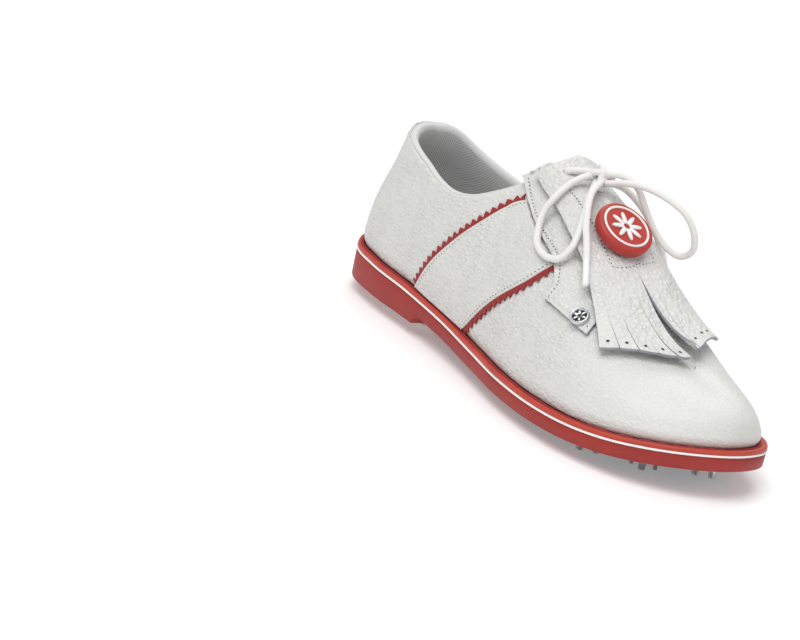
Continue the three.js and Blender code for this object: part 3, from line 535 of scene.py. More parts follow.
def shade(color, *shares):
    return tuple(c * k for c, k in zip(color, shares * 3 if len(shares) == 1 else shares))


def leather(name, color, grain=2.2, depth=0.52, roughness=0.46, toe_share=1.0):
    """Tumbled leather: soft rounded pebbles of uneven size, a little longer than wide, with painted shade darkening
    the creases between them.
    """
    look = Look(name, color, roughness, 0.45)
    place = look.vector("MULTIPLY", look.warped(300, 1.4), (0.72, 0.9, 1.15))
    creases = look.cells(grain, "DISTANCE_TO_EDGE", place)
    pebbles = look.cells(grain, "SMOOTH_F1", place, Smoothness=0.3)
    height = creases.ramp(-0.06, 0.22, 0.0, 0.36) + pebbles.ramp(0.0, 0.72, 0.8, 0.0)
    height = height + look.noise(1500, 2, place) * 0.06 + look.noise(3600, 2) * 0.03
    height = height * look.noise(60, 2).ramp(0.34, 0.66, 0.7, 1.0)
    if toe_share < 1:
        height = height * look.axis(look.place, "X").ramp(0.05, 0.125, 1.0, toe_share)
    look.relief(height, depth)
    # painted shade: the colour is darkened in the creases between the pebbles
    body = look.blend(creases.ramp(0.0, 0.16), shade(color, 0.935), color)
    look.color(look.noise(22, 3).ramp(0.4, 0.75, 0.0, 0.8), body, shade(color, 0.985, 0.98, 0.96))
    look.rough(look.noise(900, 2), roughness - 0.06, roughness + 0.08)
    return look.material


def rubber(name, color, roughness=0.55, speckle=0.04):
    look = Look(name, color, roughness, 0.4)
    fine = look.noise(1500, 3)
    look.relief(fine * 0.6 + look.noise(180, 2) * 0.4, 0.1, 0.5)
    look.color(look.noise(60, 4).ramp(0.3, 0.7), shade(color, 1 - 3 * speckle), color)
    look.rough(fine, roughness - 0.06, roughness + 0.08)
    return look.material


def mesh_cloth(name, color, pitch=1.5, depth=0.22):
    """Knitted spacer mesh: staggered small pillows, with the hole between them darkened in colour as painted shade.
    """
    look = Look(name, color, 0.9, 0.2, sheen_weight=0.25, sheen_roughness=0.5)
    pillow = look.woven(pitch)
    look.relief(pillow + look.noise(2500, 2) * 0.25, depth, 0.9)
    # painted shade: darker colour in the holes between the pillows
    look.color(pillow.ramp(0.02, 0.5), shade(color, 0.62), color)
    return look.material


def braid(name, color, pitch=1.5):
    """Round braided lace, darker in colour between its strands as painted shade."""
    look = Look(name, color, 0.75, 0.3, sheen_weight=0.3)
    strand = look.woven(pitch, 2.6)
    look.relief(strand + look.noise(4000, 2) * 0.2, 0.05, 0.6)
    # painted shade: darker colour between the strands
    look.color(strand.ramp(0.0, 0.4), shade(color, 0.93), color)
    return look.material


def moulded(name, color, roughness=0.3, fine=2200, distance=0.03, coat=0.0, through_light=0.0):
    look = Look(
        name, color, roughness, coat_weight=coat, coat_roughness=0.12, transmission_weight=through_light, ior=1.5,
    )
    look.relief(look.noise(fine, 3), distance, 0.5)
    look.color(look.noise(70, 3).ramp(0.3, 0.7), shade(color, 0.9), color)
    return look.material


def metal(name, color, roughness):
    look = Look(name, color, roughness, metallic=1.0)
    scratches = look.noise(2600, 4)
    look.relief(scratches, 0.015, 0.4)
    look.rough(scratches, roughness - 0.06, roughness + 0.1)
    return look.material


def grains(name, color, other, size):
    """Cork or pressed fibre: cells of two tones."""
    look = Look(name, color, 0.9, 0.2)
    cell = look.cells(size, "F1")
    look.color(cell.ramp(0.2, 0.7), color, other)
    look.relief(cell, 0.2, 0.6)
    return look.material


def printed_plate(name, color, milk):
    """Translucent navy with soft milky ripples printed under it."""
    look = Look(name, color, 0.22, coat_weight=0.6, coat_roughness=0.1)
    warped = look.warped(16, 16)
    x, y = look.axis(warped, "X") - 0.062, look.axis(warped, "Y")
    far = look.math("SQRT", x * x + y * y)
    ripple = look.math("SINE", far * 640.0).ramp(0.15, 0.95)
    share = ripple * far.ramp(0.03, 0.038, 1.0, 0.0) * look.noise(60, 3).ramp(0.32, 0.62, 0.35, 0.95)
    look.color(share, color, milk)
    look.relief(look.noise(300, 2), 0.05, 0.4)
    return look.material


WHITE = (0.67, 0.67, 0.65)
LEATHER = leather("white_leather", WHITE)
LEATHER_TOE = leather("white_leather_vamp", WHITE, toe_share=0.3)
LEATHER_COARSE = leather("white_leather_kiltie", WHITE, grain=2.4, depth=0.58)
CUT_EDGE = leather("raw_cut_edge", (0.33, 0.34, 0.38), grain=0.5, depth=0.06, roughness=0.8)
SUEDE = leather("flesh_side", (0.62, 0.6, 0.57), grain=0.6, depth=0.08, roughness=0.9)
PINKED_RED = leather("pinked_red_leather", (0.29, 0.018, 0.017), grain=0.9, depth=0.1, roughness=0.6)
RED = rubber("red_rubber", (0.35, 0.029, 0.023))
WELT_RED = rubber("welt_rubber", (0.50, 0.055, 0.030), 0.45)
BEAD_RED = rubber("welt_bead", (0.30, 0.022, 0.022), 0.6)
BADGE_RED = rubber("badge_rubber", (0.46, 0.036, 0.026), 0.42)
EVA = rubber("white_foam", (0.86, 0.85, 0.84), 0.5, 0.01)
MESH = mesh_cloth("lining_mesh", (0.60, 0.595, 0.595))
RIM = mesh_cloth("collar_binding", (0.74, 0.735, 0.73), 0.8, 0.04)
LACE = braid("lace_braid", (0.79, 0.775, 0.75), 1.1)
AGLET = moulded("aglet_plastic", (0.84, 0.85, 0.87), 0.25, coat=0.4)
BADGE_WHITE = moulded("badge_white", (0.86, 0.85, 0.84), 0.4)
NAVY = printed_plate("navy_plate", (0.018, 0.026, 0.055), (0.36, 0.38, 0.42))
SMOKE = moulded("smoky_cleat", (0.30, 0.29, 0.30), 0.22, coat=0.5, through_light=0.35)
FROST = moulded("frosted_plate", (0.80, 0.60, 0.57), 0.35, coat=0.3, through_light=0.25)
FROST_CLEAT = moulded("frosted_cleat", (0.78, 0.70, 0.69), 0.22, coat=0.5, through_light=0.4)
STEEL = metal("polished_steel", (0.62, 0.63, 0.65), 0.22)
# near-black metal for the rivet's recess floor: painted shade
RECESS_SHADE_METAL = metal("painted_recess_shade", (0.06, 0.06, 0.065), 0.5)
THREAD = moulded("thread", (0.80, 0.79, 0.76), 0.7, 3000, 0.05)
# near-black discs for needle holes and punched holes: painted shade
HOLE_SHADE = moulded("painted_hole_shade", (0.055, 0.055, 0.065), 0.85)
CORK = grains("cork", (0.50, 0.31, 0.15), (0.30, 0.17, 0.08), 2.2)
BOARD = grains("fibre_board", (0.46, 0.38, 0.28), (0.36, 0.29, 0.21), 0.8)

# the record's slot names, by material name; a piece's first material is looked up in it
SLOT_OF = {
    material.name: slot for slot, group in {
        "leather_white": (LEATHER, LEATHER_TOE, LEATHER_COARSE, SUEDE), "pinked_red": (PINKED_RED,),
        "rubber_red": (RED, WELT_RED, BADGE_RED), "eva_white": (EVA,), "mesh_white": (MESH,), "lace": (LACE, THREAD),
        "plastic_white": (AGLET, BADGE_WHITE), "tpu_navy": (NAVY, SMOKE), "tpu_clear": (FROST, FROST_CLEAT),
        "steel": (STEEL,),
    }.items() for material in group
}


# ---- the kiltie's surface ----
KILTIE_T = 1.4
KILTIE_EDGE = spline([
    (0, (0.497, 0.748)), (0.19, (0.566, 0.749)), (0.44, (0.643, 0.691)), (0.59, (0.688, 0.652)),
    (0.72, (0.719, 0.596)), (0.88, (0.751, 0.502)), (1, (0.77, 0.417)),
])
kiltie_rise = spline([(0, 8), (0.12, 6.8), (0.45, 6.5), (0.6, 5.2), (0.8, 3.2), (0.93, 2.8), (1, 3.4)])


def kiltie_at(a, b, d, lift=0.0):
    """A point of the flap and its normal: a from its top (0) to the fringe (1), b across from -1, lateral, to 1."""
    a, b = np.broadcast_arrays(np.asarray(a, float), np.asarray(b, float))
    rim = KILTIE_EDGE(a)
    centre = mix(0.548, 0.945, a)
    w = on_side(np.where(b < 0, LATERAL, MEDIAL), centre + (rim[..., 0] - centre) * np.abs(b) ** 1.6)
    depth = 1 - (1 - rim[..., 1]) * np.abs(b)
    rise = kiltie_rise(a) - 3.4 * b ** 4 * (1 - a) ** 3
    return skin(w, depth, rise + d + lift), outward(w, depth)


# ---- the lace ----
LACE_D, LACE_HOLE = 3.2, (0.06, 0.42)
KNOT, KNOT_R = np.array([8.5, -0.9, 102.4]), 3.9
AGLET_L = 15


def from_knot(x, y, z):
    """A point just outside the knot."""
    return KNOT + unit(np.array([x, y, z])) * (KNOT_R + 1.3)


BOW = {
    "lateral": {
        "run": [(0, -5.5, 102.4), from_knot(-0.95, -0.25, 0.1)],
        "loop": [
            from_knot(-0.35, -0.93, 0.1), (4.5, -13, 98.4), (5.5, -22, 90.6), (4.6, -24.6, 84.3), (6.2, -27, 78.2),
            (13.2, -30.8, 71.6), (22.6, -32, 69.4), (30.6, -30.5, 71.1), (32.9, -27, 76.6), (31.8, -24.3, 81.6),
            (28.5, -20.8, 86.5), (17, -11.3, 95.2), from_knot(0.35, -0.75, -0.55),
        ],
        "end": [
            from_knot(0.8, -0.55, -0.1), (20.8, -13.8, 98.4), (32.3, -21.3, 88.1), (38.7, -23.3, 81.1),
            (44.1, -25.5, 75.1),
        ],
        "aglet": (55.2, -31.3, 67), "rise": (2.6, -0.86, 1.68),
        "in_knot": [(-2.6, -2.03, 0.17), (-2.69, 0.85, 0.41), (0.68, 2.29, 2.28)],
    },
    "medial": {
        "run": [(1, 4.6, 103.4), from_knot(-0.8, 0.55, 0.2)],
        "loop": [
            from_knot(0.75, 0.25, 0.6), (17.5, 5, 106.4), (23, 9, 103.4), (27.5, 13, 95), (32.5, 16, 87.5),
            (39, 20.5, 81), (44.7, 25, 78.8), (49.8, 27, 83.2), (50.3, 25.5, 91.2), (46.8, 21, 99.3),
            (38.7, 14, 104.3), (28.3, 8, 105.6), (19.5, 3.4, 103.9), from_knot(0.98, 0.1, -0.15),
        ],
        "end": [
            from_knot(0.6, 0.75, -0.25), (13.4, 9.5, 99.4), (15.4, 17, 94.2), (17.4, 23.9, 87), (19.2, 29.6, 79),
            (20.8, 34.4, 70.5),
        ],
        "aglet": (22.6, 39, 58.5), "rise": (2.4, 0.72, 1.54),
        "in_knot": [(0.01, 1.84, 0.98), (1.48, -0.67, -0.98), (0.41, 1.55, -1.22)],
    },
}
AGLET_PROFILE = [
    (0.2, 0), (1.45, 0.05), (1.62, 0.4), (1.62, 1.2), (1.5, 1.6), (1.5, AGLET_L - 1.4), (1.3, AGLET_L - 0.5),
    (0.8, AGLET_L - 0.05), (0.1, AGLET_L),
]
KNOT_STRAP = [(-4.4, 1.2, 2.2), (-2, 3.2, 2.6), (1.2, 3.8, 2.0), (4.2, 2.0, 0.6), (5.0, -0.6, -1.2)]


def make_knot():
    """The wrap that shows of the knot, facing the front, and a strap across it."""
    up, back = np.array(CAMERA_UP), -np.array(CAMERA_LOOK)
    across, angles = np.cross(up, back), circle(48)
    wrap = KNOT + round_about(angles, 4.9 * up, 3.9 * back) + 0.8 * np.sin(2 * angles)[:, None] * across
    strap, _ = through(KNOT + np.array(KNOT_STRAP) @ np.array([across, back, up]), 0.9)
    lines = (np.concatenate([wrap, wrap[:1]]), strap)
    parts = [solid(tube_sections(line, LACE_D / 2)) for line in lines]
    knot = joined("lace_knot", ["bow_knot"], parts, [LACE], "kiltie")
    corners = np.arange(len(knot.data.vertices))
    lay_uv(knot, np.stack([corners // 14 * 0.9, corners % 14 / 3.5], -1))
    return knot


def make_bow():
    """Both halves of the lace, each one cord: out of the kiltie, through the knot, round its loop, to its aglet."""
    knot = make_knot()
    for name, side in SIDES.items():
        route = BOW[name]
        hole, _ = kiltie_at(LACE_HOLE[0], side * LACE_HOLE[1], 0.4)
        first, *turn_back = (KNOT + np.array(p) for p in route["in_knot"])
        start = [hole, hole + np.array(route["rise"]), *route["run"], first]
        line, length = through([*start, *route["loop"], *turn_back, *route["end"]], 0.9)
        nodes = [f"bow_{part}_{name}" for part in ("run", "loop", "end")]
        lace = tube(f"lace_{name}", nodes, line, LACE_D / 2, [LACE], "kiltie")
        tip = np.array(route["end"][-1], float)
        along = unit(np.array(route["aglet"]) - tip)
        sections = turned(AGLET_PROFILE, 20, tip - 0.4 * along, along)
        aglet = loft(f"aglet_tip_{name}", [f"aglet_{name}"], sections, [AGLET], "kiltie")
        hole * MM


make_bow()


# ---- the sole ----
WELT_T, WELT_BAND = 2.2, 1.95  # the band is what shows of the welt's edge
LINE_BAND = 1.15
HEEL_BOTTOM, BREAST_X, BREAST_SLANT = 5.6, -60, 5
SOLE_T, PLATE_PROUD = 9.8, 0.8


def sole_bottom(x):
    step = np.clip((np.asarray(x) - BREAST_X) / BREAST_SLANT, 0, 1)
    return mix(HEEL_BOTTOM, top_z(x) - SOLE_T, step)


def shared_stations(count=150):
    """Distances u on each side whose outline points share the same x, closer together round both ends."""
    breast = [BREAST_X - 0.6, BREAST_X, BREAST_X + BREAST_SLANT, BREAST_X + BREAST_SLANT + 0.6]
    x = np.sort(np.concatenate([-142 * np.cos(np.linspace(0, pi, count)), breast]))
    x[0], x[-1] = -142, 142
    dense = span(3000)
    found = []
    for side in (LATERAL, MEDIAL):
        u = np.interp(x, np.maximum.accumulate(edge(dense, side)[:, 0]) + np.linspace(0, 1e-6, 3000), dense)
        u[0], u[-1] = 0, 1
        found.append(u)
    return found


U_LAT, U_MED = shared_stations()
W_RING = np.concatenate([U_LAT, 2 - U_MED[-2:0:-1]])


def ring_points(profile):
    """Points round the whole sole for a list of (inset, height over the welt's top) at each place."""
    side, u = side_of(W_RING)
    rows = []
    for inset, height in profile:
        p = edge(u, side, inset(u) if callable(inset) else inset)
        rows.append(with_z(p, top_z(p[:, 0]) + height))
    return np.stack(rows, 1)


def make_welt():
    side, u = side_of(W_RING)
    rib = 0.5 + 0.5 * np.sin(2 * pi * travelled(edge(u, side, 2.0)) / 2.4)
    out = lambda back: lambda u: welt_width(u) - back
    rows = ring_points([
        (0.15, -WELT_BAND), (-0.05, -WELT_BAND + 0.4), (0.0, -0.7), (0.15, -0.25), (0.5, -0.02), (out(2.3), 0.0),
        (out(1.9), -0.12), (out(1.75), -0.35), (out(1.6), -0.1), (out(1.35), 0.25), (out(1.0), 0.4), (out(0.6), 0.25),
        (out(0.35), -0.1), (out(-0.4), -0.3), (9, -0.3), (9, -WELT_T),
    ])
    rows[:, 8:12, 2] += (0.45 * rib - 0.1)[:, None] * np.array([0.4, 1, 1, 0.4])
    picks = np.tile([0] * 7 + [1] * 6 + [0] * 3, len(rows)).tolist()
    make_object("welt_ring", ["welt"], *hoop(rows)[:2], [WELT_RED, BEAD_RED], picks=picks)


def make_midsole_line():
    top, low = -WELT_BAND, -WELT_BAND - LINE_BAND
    rows = ring_points([
        (9, top), (0.3, top), (-0.15, top - 0.15), (-0.38, top - 0.6), (-0.38, low + 0.5), (-0.15, low + 0.12),
        (0.3, low), (9, low),
    ])
    make_object("midsole_stripe", ["midsole_line"], *hoop(rows)[:2], [EVA])


def make_outsole():
    """Side wall and underside in one: rows round the wall, then across the bottom between the two sides."""
    wall = [(12, 0.0), (0.4, 0.0), (0.02, 0.06), (0.1, 0.5), (0.25, 0.92), (0.55, 0.97), (1.3, 1.0)]
    sides = []
    for side, u in ((LATERAL, U_LAT), (MEDIAL, U_MED)):
        rows = []
        for inset, share in wall:
            p = edge(u, side, inset)
            rows.append(with_z(p, mix(top_z(p[:, 0]) - WELT_BAND - LINE_BAND, sole_bottom(p[:, 0]), share)))
        sides.append(np.stack(rows, 1))
    lateral, medial = sides
    bottom = between(lateral[:, -1], medial[:, -1], 24)[:, 1:-1]
    bottom[..., 2] = sole_bottom(bottom[..., 0])
    sections = np.concatenate([lateral, bottom, medial[:, ::-1]], 1)
    weld(loft("outsole_rubber", ["outsole_unit"], sections, [RED]), 0.001)


CLAW_ROWS = [  # share of the height, half size outwards and across, lean
    (-1.0, 1.5, 2.2, -0.6), (0.0, 1.45, 2.1, -0.3), (0.45, 1.25, 1.85, 0.0), (0.85, 1.05, 1.6, 0.2),
    (0.97, 0.9, 1.45, 0.25), (1.0, 0.6, 1.15, 0.25),
]
HUB = [(0.2, 1.0), (2.9, 0.9), (2.7, -0.3), (2.0, -0.8), (1.2, -0.9), (0.9, -0.5), (0.1, -0.4)]


def claw_parts(clusters, claws, spread):
    """Claws standing round a low hub: each is a tapered wedge that leans outwards a little."""
    phi = circle(16)
    grow = (np.abs(np.cos(phi)) ** 5 + np.abs(np.sin(phi)) ** 5) ** (-1 / 5)
    parts = []
    for x, y, turn in clusters:
        floor = float(sole_bottom(x)) - PLATE_PROUD
        height = floor - max(0.0, floor - 5.4)
        parts.append(solid(turned(HUB, 18, np.array([x, y, floor]), (0, 0, 1))))
        for angle in turn + circle(claws):
            out = np.array([np.cos(angle), np.sin(angle), 0])
            tangent = np.array([-out[1], out[0], 0])
            rows = []
            for level, radial, wide, lean in CLAW_ROWS:
                z = floor - level * height if level >= 0 else floor + 1
                section = round_about(phi, radial * out, wide * tangent) * grow[:, None]
                rows.append(np.array([x, y, z]) + out * (spread + lean) + section)
            parts.append(solid(np.array(rows)[::-1]))
    return parts


FORE_CLUSTERS = [
    (119, 7, 0.2), (107, -17, 0.8), (103, 24, 0.1), (90, 3, 0.5), (82, -30, 0.2), (76, 30, 0.7), (64, -6, 0.1),
    (55, -31, 0.6), (50, 29, 0.3), (38, 3, 0.5), (25, -25, 0.1), (22, 20, 0.6), (6, -8, 0.4),
]
TAIL_CLUSTERS = [(-3, -24.5, 0.3), (-14, -18, 0.9), (-27, -21.5, 0.6)]
HEEL_CLUSTERS = [
    (-124, 0, 0.3), (-111, -18, 0.7), (-111, 17, 0.1), (-92, -19, 0.4), (-92, 18, 0.4), (-77, -19.5, 0.1),
    (-77, 17.5, 0.7),
]
FORE_TAIL = 0.345
fore_lat = spline([
    (FORE_TAIL, 10), (0.42, 11.5), (0.535, 13.5), (0.555, 15.5), (0.575, 12), (0.7, 10.5), (0.9, 10), (1, 10.5),
])
fore_med = spline([(FORE_TAIL, 54), (0.4, 45), (0.47, 27), (0.55, 13.5), (0.7, 10), (0.9, 10), (1, 10.5)])
HEEL_RIM, HEEL_LEG, HEEL_END, HEEL_BRIDGE = 9, 18.5, 0.283, 0.09


def make_plates():
    u = np.sort(np.concatenate([np.linspace(FORE_TAIL, 1, 110), [0.535, 0.545, 0.555, 0.565, 0.575]]))
    fore = between(edge(u, LATERAL, fore_lat(u)), edge(u, MEDIAL, fore_med(u)), 14)
    side, u = side_of(np.linspace(-HEEL_END, HEEL_END, 90))
    heel = between(edge(u, side, HEEL_RIM), edge(np.maximum(u, HEEL_BRIDGE), side, HEEL_RIM + HEEL_LEG), 8)
    fore_claws = claw_parts(FORE_CLUSTERS, 4, 5.2) + claw_parts(TAIL_CLUSTERS, 3, 3)
    for where, plan, z, plate_look, claws, claw_look, rounding in (
        ("forefoot", fore, sole_bottom(fore[..., 0]), NAVY, fore_claws, SMOKE, 0.45),
        ("heel", heel, HEEL_BOTTOM, FROST, claw_parts(HEEL_CLUSTERS, 3, 4), FROST_CLEAT, 0.4),
    ):
        nodes = [f"{where}_cleat_plate"]
        plate = loft(f"{where}_plate", nodes, slab(plan, z + 0.5, z - PLATE_PROUD), [plate_look])
        if where == "forefoot":
            weld(plate, 0.001)
        round_edges(plate, rounding, 2, 50)
        joined(f"{where}_cleats", nodes, claws, [claw_look])


def petals(centre, right, up, normal, reach, depth, count, low, high, steps=96, hole=1.6, pick=0):
    """A many-petalled flower with a hole in it, standing along normal from low to high."""
    angles, bevel = circle(steps), 0.22
    r = (reach - depth + depth * np.cos(count * angles))[:, None]
    spoke = round_about(angles, right, up)
    rows = [(r, low), (r, high - bevel), (r - bevel, high), (hole + bevel, high), (hole, high - bevel), (hole, low)]
    return hoop(np.stack([centre + radius * spoke + height * normal for radius, height in rows], 1), pick)


def ring_part(centre, normal, inner, outer, low, high, segments=72):
    bevel = min(0.25, (outer - inner) / 4)
    profile = [
        (inner, low), (outer, low), (outer, high - bevel), (outer - bevel, high), (inner + bevel, high),
        (inner, high - bevel),
    ]
    return hoop(np.moveaxis(turned(profile, segments, centre, normal), 0, 1))


def make_shank_badge():
    """Oval plaque in the waist with a raised rim and a flower."""
    x, y, turn = -30, 14, 0.5
    centre = np.array([x, y, float(sole_bottom(x))])
    right, up = np.array([np.cos(turn), np.sin(turn), 0]), np.array([-np.sin(turn), np.cos(turn), 0])
    down = np.array([0, 0, -1.0])

    def ovals(rows):
        return np.array([
            centre + round_about(circle(72), (12.5 + grow) * right, (9.5 + grow) * up) + drop * down
            for grow, drop in rows
        ])

    plate = solid(ovals([(0, -0.8), (0, 0.5), (-0.3, 0.8), (-1.1, 0.8), (-1.4, 0.45)])[::-1])
    rim = hoop(np.moveaxis(ovals([(-2.2, 0.3), (-2.2, 0.75), (-2.7, 0.75), (-2.7, 0.3)]), 0, 1), 1)
    flower = petals(centre, right, up, down, 7.0, 2.3, 8, 0.3, 0.9, pick=1)
    joined("shank_plaque", ["shank_badge"], [plate, flower, rim], [RED, FROST])


FOOTBED_BASE = 2.6
HEEL_SEAT_Z, HEEL_SEAT_END = 31, -84


def footbed_top(x, y):
    ease = smooth(x, HEEL_SEAT_END, HEEL_SEAT_END + 70)
    arch = 5 * bell(x, -30, 34) * np.clip((y - 6) / 20, 0, 1)
    return mix(float(HEEL_SEAT_Z), top_z(x) + FOOTBED_BASE + 4, ease) + arch


def make_footbed():
    u, across = span(110), np.linspace(-1, 1, 25)
    inset = welt_width(u) + 7.2
    plan = between(edge(u, LATERAL, inset), edge(u, MEDIAL, inset), 25)
    x = plan[..., 0]
    top = footbed_top(x, plan[..., 1]) - 0.35 * (1 - np.abs(across) ** 4) * smooth(x, -84, -60)
    uv = np.concatenate([plan, plan[:, ::-1]], 1).reshape(-1, 2)
    footbed = loft("footbed_cushion", ["footbed"], slab(plan, top, top_z(x) + FOOTBED_BASE), [MESH], "footbed", uv)
    round_edges(footbed, 0.8, 3, 50)


make_welt()
make_midsole_line()
make_outsole()
make_plates()
make_shank_badge()
make_footbed()


# ---- the upper ----
COLLAR_END, THROAT_POINT = 0.457, 0.84  # where the collar ends, and where both throat edges meet
FOOT_V, LEATHER_T, LEATHER_ROUND = 0.004, 1.5, 0.25
collar_lateral = spline([
    (0, 82), (0.08, 82.5), (0.13, 80.5), (0.2, 78), (0.25, 75.5), (0.3, 72), (0.34, 71), (0.38, 73.5), (0.421, 80),
    (COLLAR_END, 87),
])
collar_medial = spline([
    (0, 82), (0.05, 81.5), (0.12, 74), (0.2, 68.5), (0.3, 68), (0.37, 73), (0.421, 80.5), (COLLAR_END, 87),
])
throat_v = spline([
    (COLLAR_END, 0.64), (0.475, 0.76), (0.5, 0.85), (0.56, 0.86), (0.75, 0.87), (0.8, 0.9), (THROAT_POINT, 1),
])
seam = spline([(0, 0.357), (0.2, 0.408), (0.33, 0.457), (0.47, 0.51), (0.61, 0.559), (0.85, 0.6)])


def seam_u(t):
    return seam(0.81 * np.asarray(t, float))


def rim_v(w):
    """Height of the collar's edge, a millimetre below the collar line."""
    side, u = side_of(w)
    near = np.minimum(u, COLLAR_END)
    return height_to_v(w, np.where(side < 0, collar_lateral(near), collar_medial(near)) - 1.0)


def upper_edge(w):
    """The leather's upper edge: the collar's, easing into the throat in front."""
    _, u = side_of(w)
    throat = np.where(u >= THROAT_POINT, 1.0, throat_v(np.maximum(u, COLLAR_END)))
    return mix(rim_v(w), throat, smooth(u, 0.44, 0.482))


def undulation(p):
    """Very soft unevenness of stretched leather."""
    x, y, z = p[..., 0], p[..., 1], p[..., 2]
    return 0.1 * np.sin(x / 7.3 + 1.3 * np.sin(z / 9.1)) + 0.08 * np.sin(y / 5.7 + x / 13.0 + 2.0) * np.sin(z / 6.1)


def upper_grid(w, t, d=0.0):
    """Leather from the welt up to its edge; it bows out just over the welt and turns in under itself."""
    top = np.stack([upper_edge(column) for column in w.T], 1)
    v = mix(FOOT_V, top, t[None, :])
    base, normal = surface(w, v), outward(w, v)
    roll = 0.55 * bell(v, 0.07, 0.05) - 0.5 * bell(v, 0, 0.018)
    return base + (d + undulation(base) + roll)[..., None] * normal, normal


CREST_END, CREST_END_UP = np.array([97, 5.5, 45.5]), np.array([0.3, 0, 0.954])


def make_vamp():
    s, t = np.linspace(-1, 1, 221), span(90)
    w = 1 + (np.sign(s) * np.abs(s) ** 1.1)[:, None] * (1 - seam_u(t))[None, :]
    points, normal = upper_grid(w, t)
    near_end = bell(np.linalg.norm(points - CREST_END, axis=-1), 0, 5)[..., None]
    points = points - near_end * undulation(points)[..., None] * normal
    normal = unit(mix(normal, CREST_END_UP, near_end))
    leaf("vamp_leather", ["vamp"], [points], normal, [LEATHER_TOE, CUT_EDGE], LEATHER_T, LEATHER_ROUND, merge=0.12)


def make_quarters():
    s, t = span(150), span(80)
    u = mix(0.0004, seam_u(t)[None, :] - 0.001, (s ** 1.2)[:, None])
    turn_in = -1.1 * smooth(t, 0.965, 1.0) ** 2
    for name, side in SIDES.items():
        points, normal = upper_grid(on_side(side, u), t, turn_in[None, :])
        materials = [LEATHER, CUT_EDGE]
        leaf(f"quarter_leather_{name}", [f"quarter_{name}"], [points], normal, materials, LEATHER_T, LEATHER_ROUND)


ROLL = spline([  # from the collar's edge down the inside: (height from the edge, d)
    (0, (-3.2, -1.75)), (0.04, (-1.2, -1.6)), (0.07, (0.1, -1.35)), (0.1, (0.95, -1.9)), (0.13, (1.35, -2.8)),
    (0.16, (1.25, -3.8)), (0.2, (0.3, -4.9)), (0.25, (-1.6, -5.6)), (0.33, (-5, -6.1)), (0.45, (-11, -6.2)),
    (0.6, (-20, -5.6)),
])
RIM_ROWS = 17


def make_lining():
    """Padded collar and inside: out from under the leather, over the rim and down to the insole."""
    w = np.linspace(-COLLAR_END - 0.012, COLLAR_END + 0.012, 260)
    rim = rim_v(w)
    up = np.linalg.norm(slopes(w, rim)[1], axis=-1)
    rows, lower = ROLL(np.linspace(0, 0.6, 44)), span(30)[1:]
    v_roll = rim[:, None] + rows[None, :, 0] / up[:, None]
    v = np.concatenate([v_roll, v_roll[:, -1:] * (1 - lower) + 0.02 * lower], 1)
    d = np.broadcast_to(np.concatenate([rows[:, 1], mix(-5.6, -4.9, lower)]), v.shape)
    points = skin(w[:, None], np.clip(v, 0.005, 0.995), d)
    inwards = -outward(w[:, None] + 0 * v, v)
    nodes = ["lining", "collar_roll", "collar_padding"]
    lining = leaf("collar_and_lining", nodes, [points], inwards, [MESH, RIM], 0.7, 0, cloth=True)
    lining.modifiers["thickness"].material_offset_rim = 0
    picks = np.tile(np.arange(v.shape[1] - 1) < RIM_ROWS, len(w) - 1)
    lining.data.polygons.foreach_set("material_index", picks.astype(int).tolist())


TAB_D = 1.5


def tab_place(s, t):
    """(w, v) on the strap over the back seam: s across it from -1 to 1, t up it from 0 to 1."""
    half = 0.075 * mix(0.7, 1, t) * np.sqrt(np.clip(1 - 0.75 * smooth(t, 0.88, 1.0) ** 2, 0, 1))
    w = s * half
    return w, mix(0.4, rim_v(w) + 0.004, t)


def make_heel_tab():
    """Strap over the back seam, rounded at its top, with a fine line down both edges."""
    s, t = np.linspace(-1, 1, 41)[:, None], span(60)[None, :]
    w, v = tab_place(s, t)
    d = TAB_D - 1.0 * smooth(t, 0.95, 1.0) ** 2 - 0.35 * np.abs(s) ** 12
    patch("heel_tab_leather", "heel_tab", w, v, d, [LEATHER], 1.3, 0.4)
    points = skin(w, v, d)
    for name, row in (("lateral", 0), ("medial", -1)):
        piping, _ = through(points[row, :-6:3], 0.8)
        tube(f"heel_tab_piping_{name}", [], piping, 0.2, [CUT_EDGE], sides=8)


def make_tongue():
    s, t = span(70)[:, None], np.linspace(-1, 1, 49)[None, :]
    across = t * mix(0.2, 0.17, s)
    u = mix(0.515, 0.86, s) + 0.012 * np.abs(t) ** 3 * (1 - s)
    w, v = on_side(np.where(across < 0, LATERAL, MEDIAL), u), 1 - np.abs(across)
    plump = -5.4 - 0.9 * np.abs(t) ** 6 - 0.8 * (1 - smooth(s, 0.0, 0.05))
    patch("tongue_leather", "tongue", w, v, plump, [LEATHER], 2.8, 0.7)


make_vamp()
make_quarters()
make_lining()
make_heel_tab()
make_tongue()


# ---- saddle, pinked strips, facings ----
SADDLE_REAR = spline([
    (0, (0.289, 0.02)), (0.25, (0.325, 0.222)), (0.5, (0.378, 0.385)), (0.75, (0.434, 0.505)), (1, (0.495, 0.64)),
])
SADDLE_FRONT = spline([
    (0, (0.43, 0.02)), (0.25, (0.471, 0.166)), (0.5, (0.517, 0.294)), (0.75, (0.572, 0.424)), (1, (0.617, 0.561)),
])
TOOTH, TOOTH_DEPTH, STRIP_W, STRIP_D = 4.1, 2.6, 1.6, 0.85
SADDLE_D, SEAM_INSET = 1.7, 1.6  # its outer side over the leather, and its seam's distance from its edge
stitch_parts = {"shoe": [], "kiltie": []}


def evenly(line, side, end, count):
    """Places along a line on the surface, the same distance apart, and the line's length."""
    s = np.linspace(0.012, end, 400)
    far = travelled(surface(*put(side, line(s))))
    return np.interp(np.linspace(0, far[-1], count), far, s), far[-1]


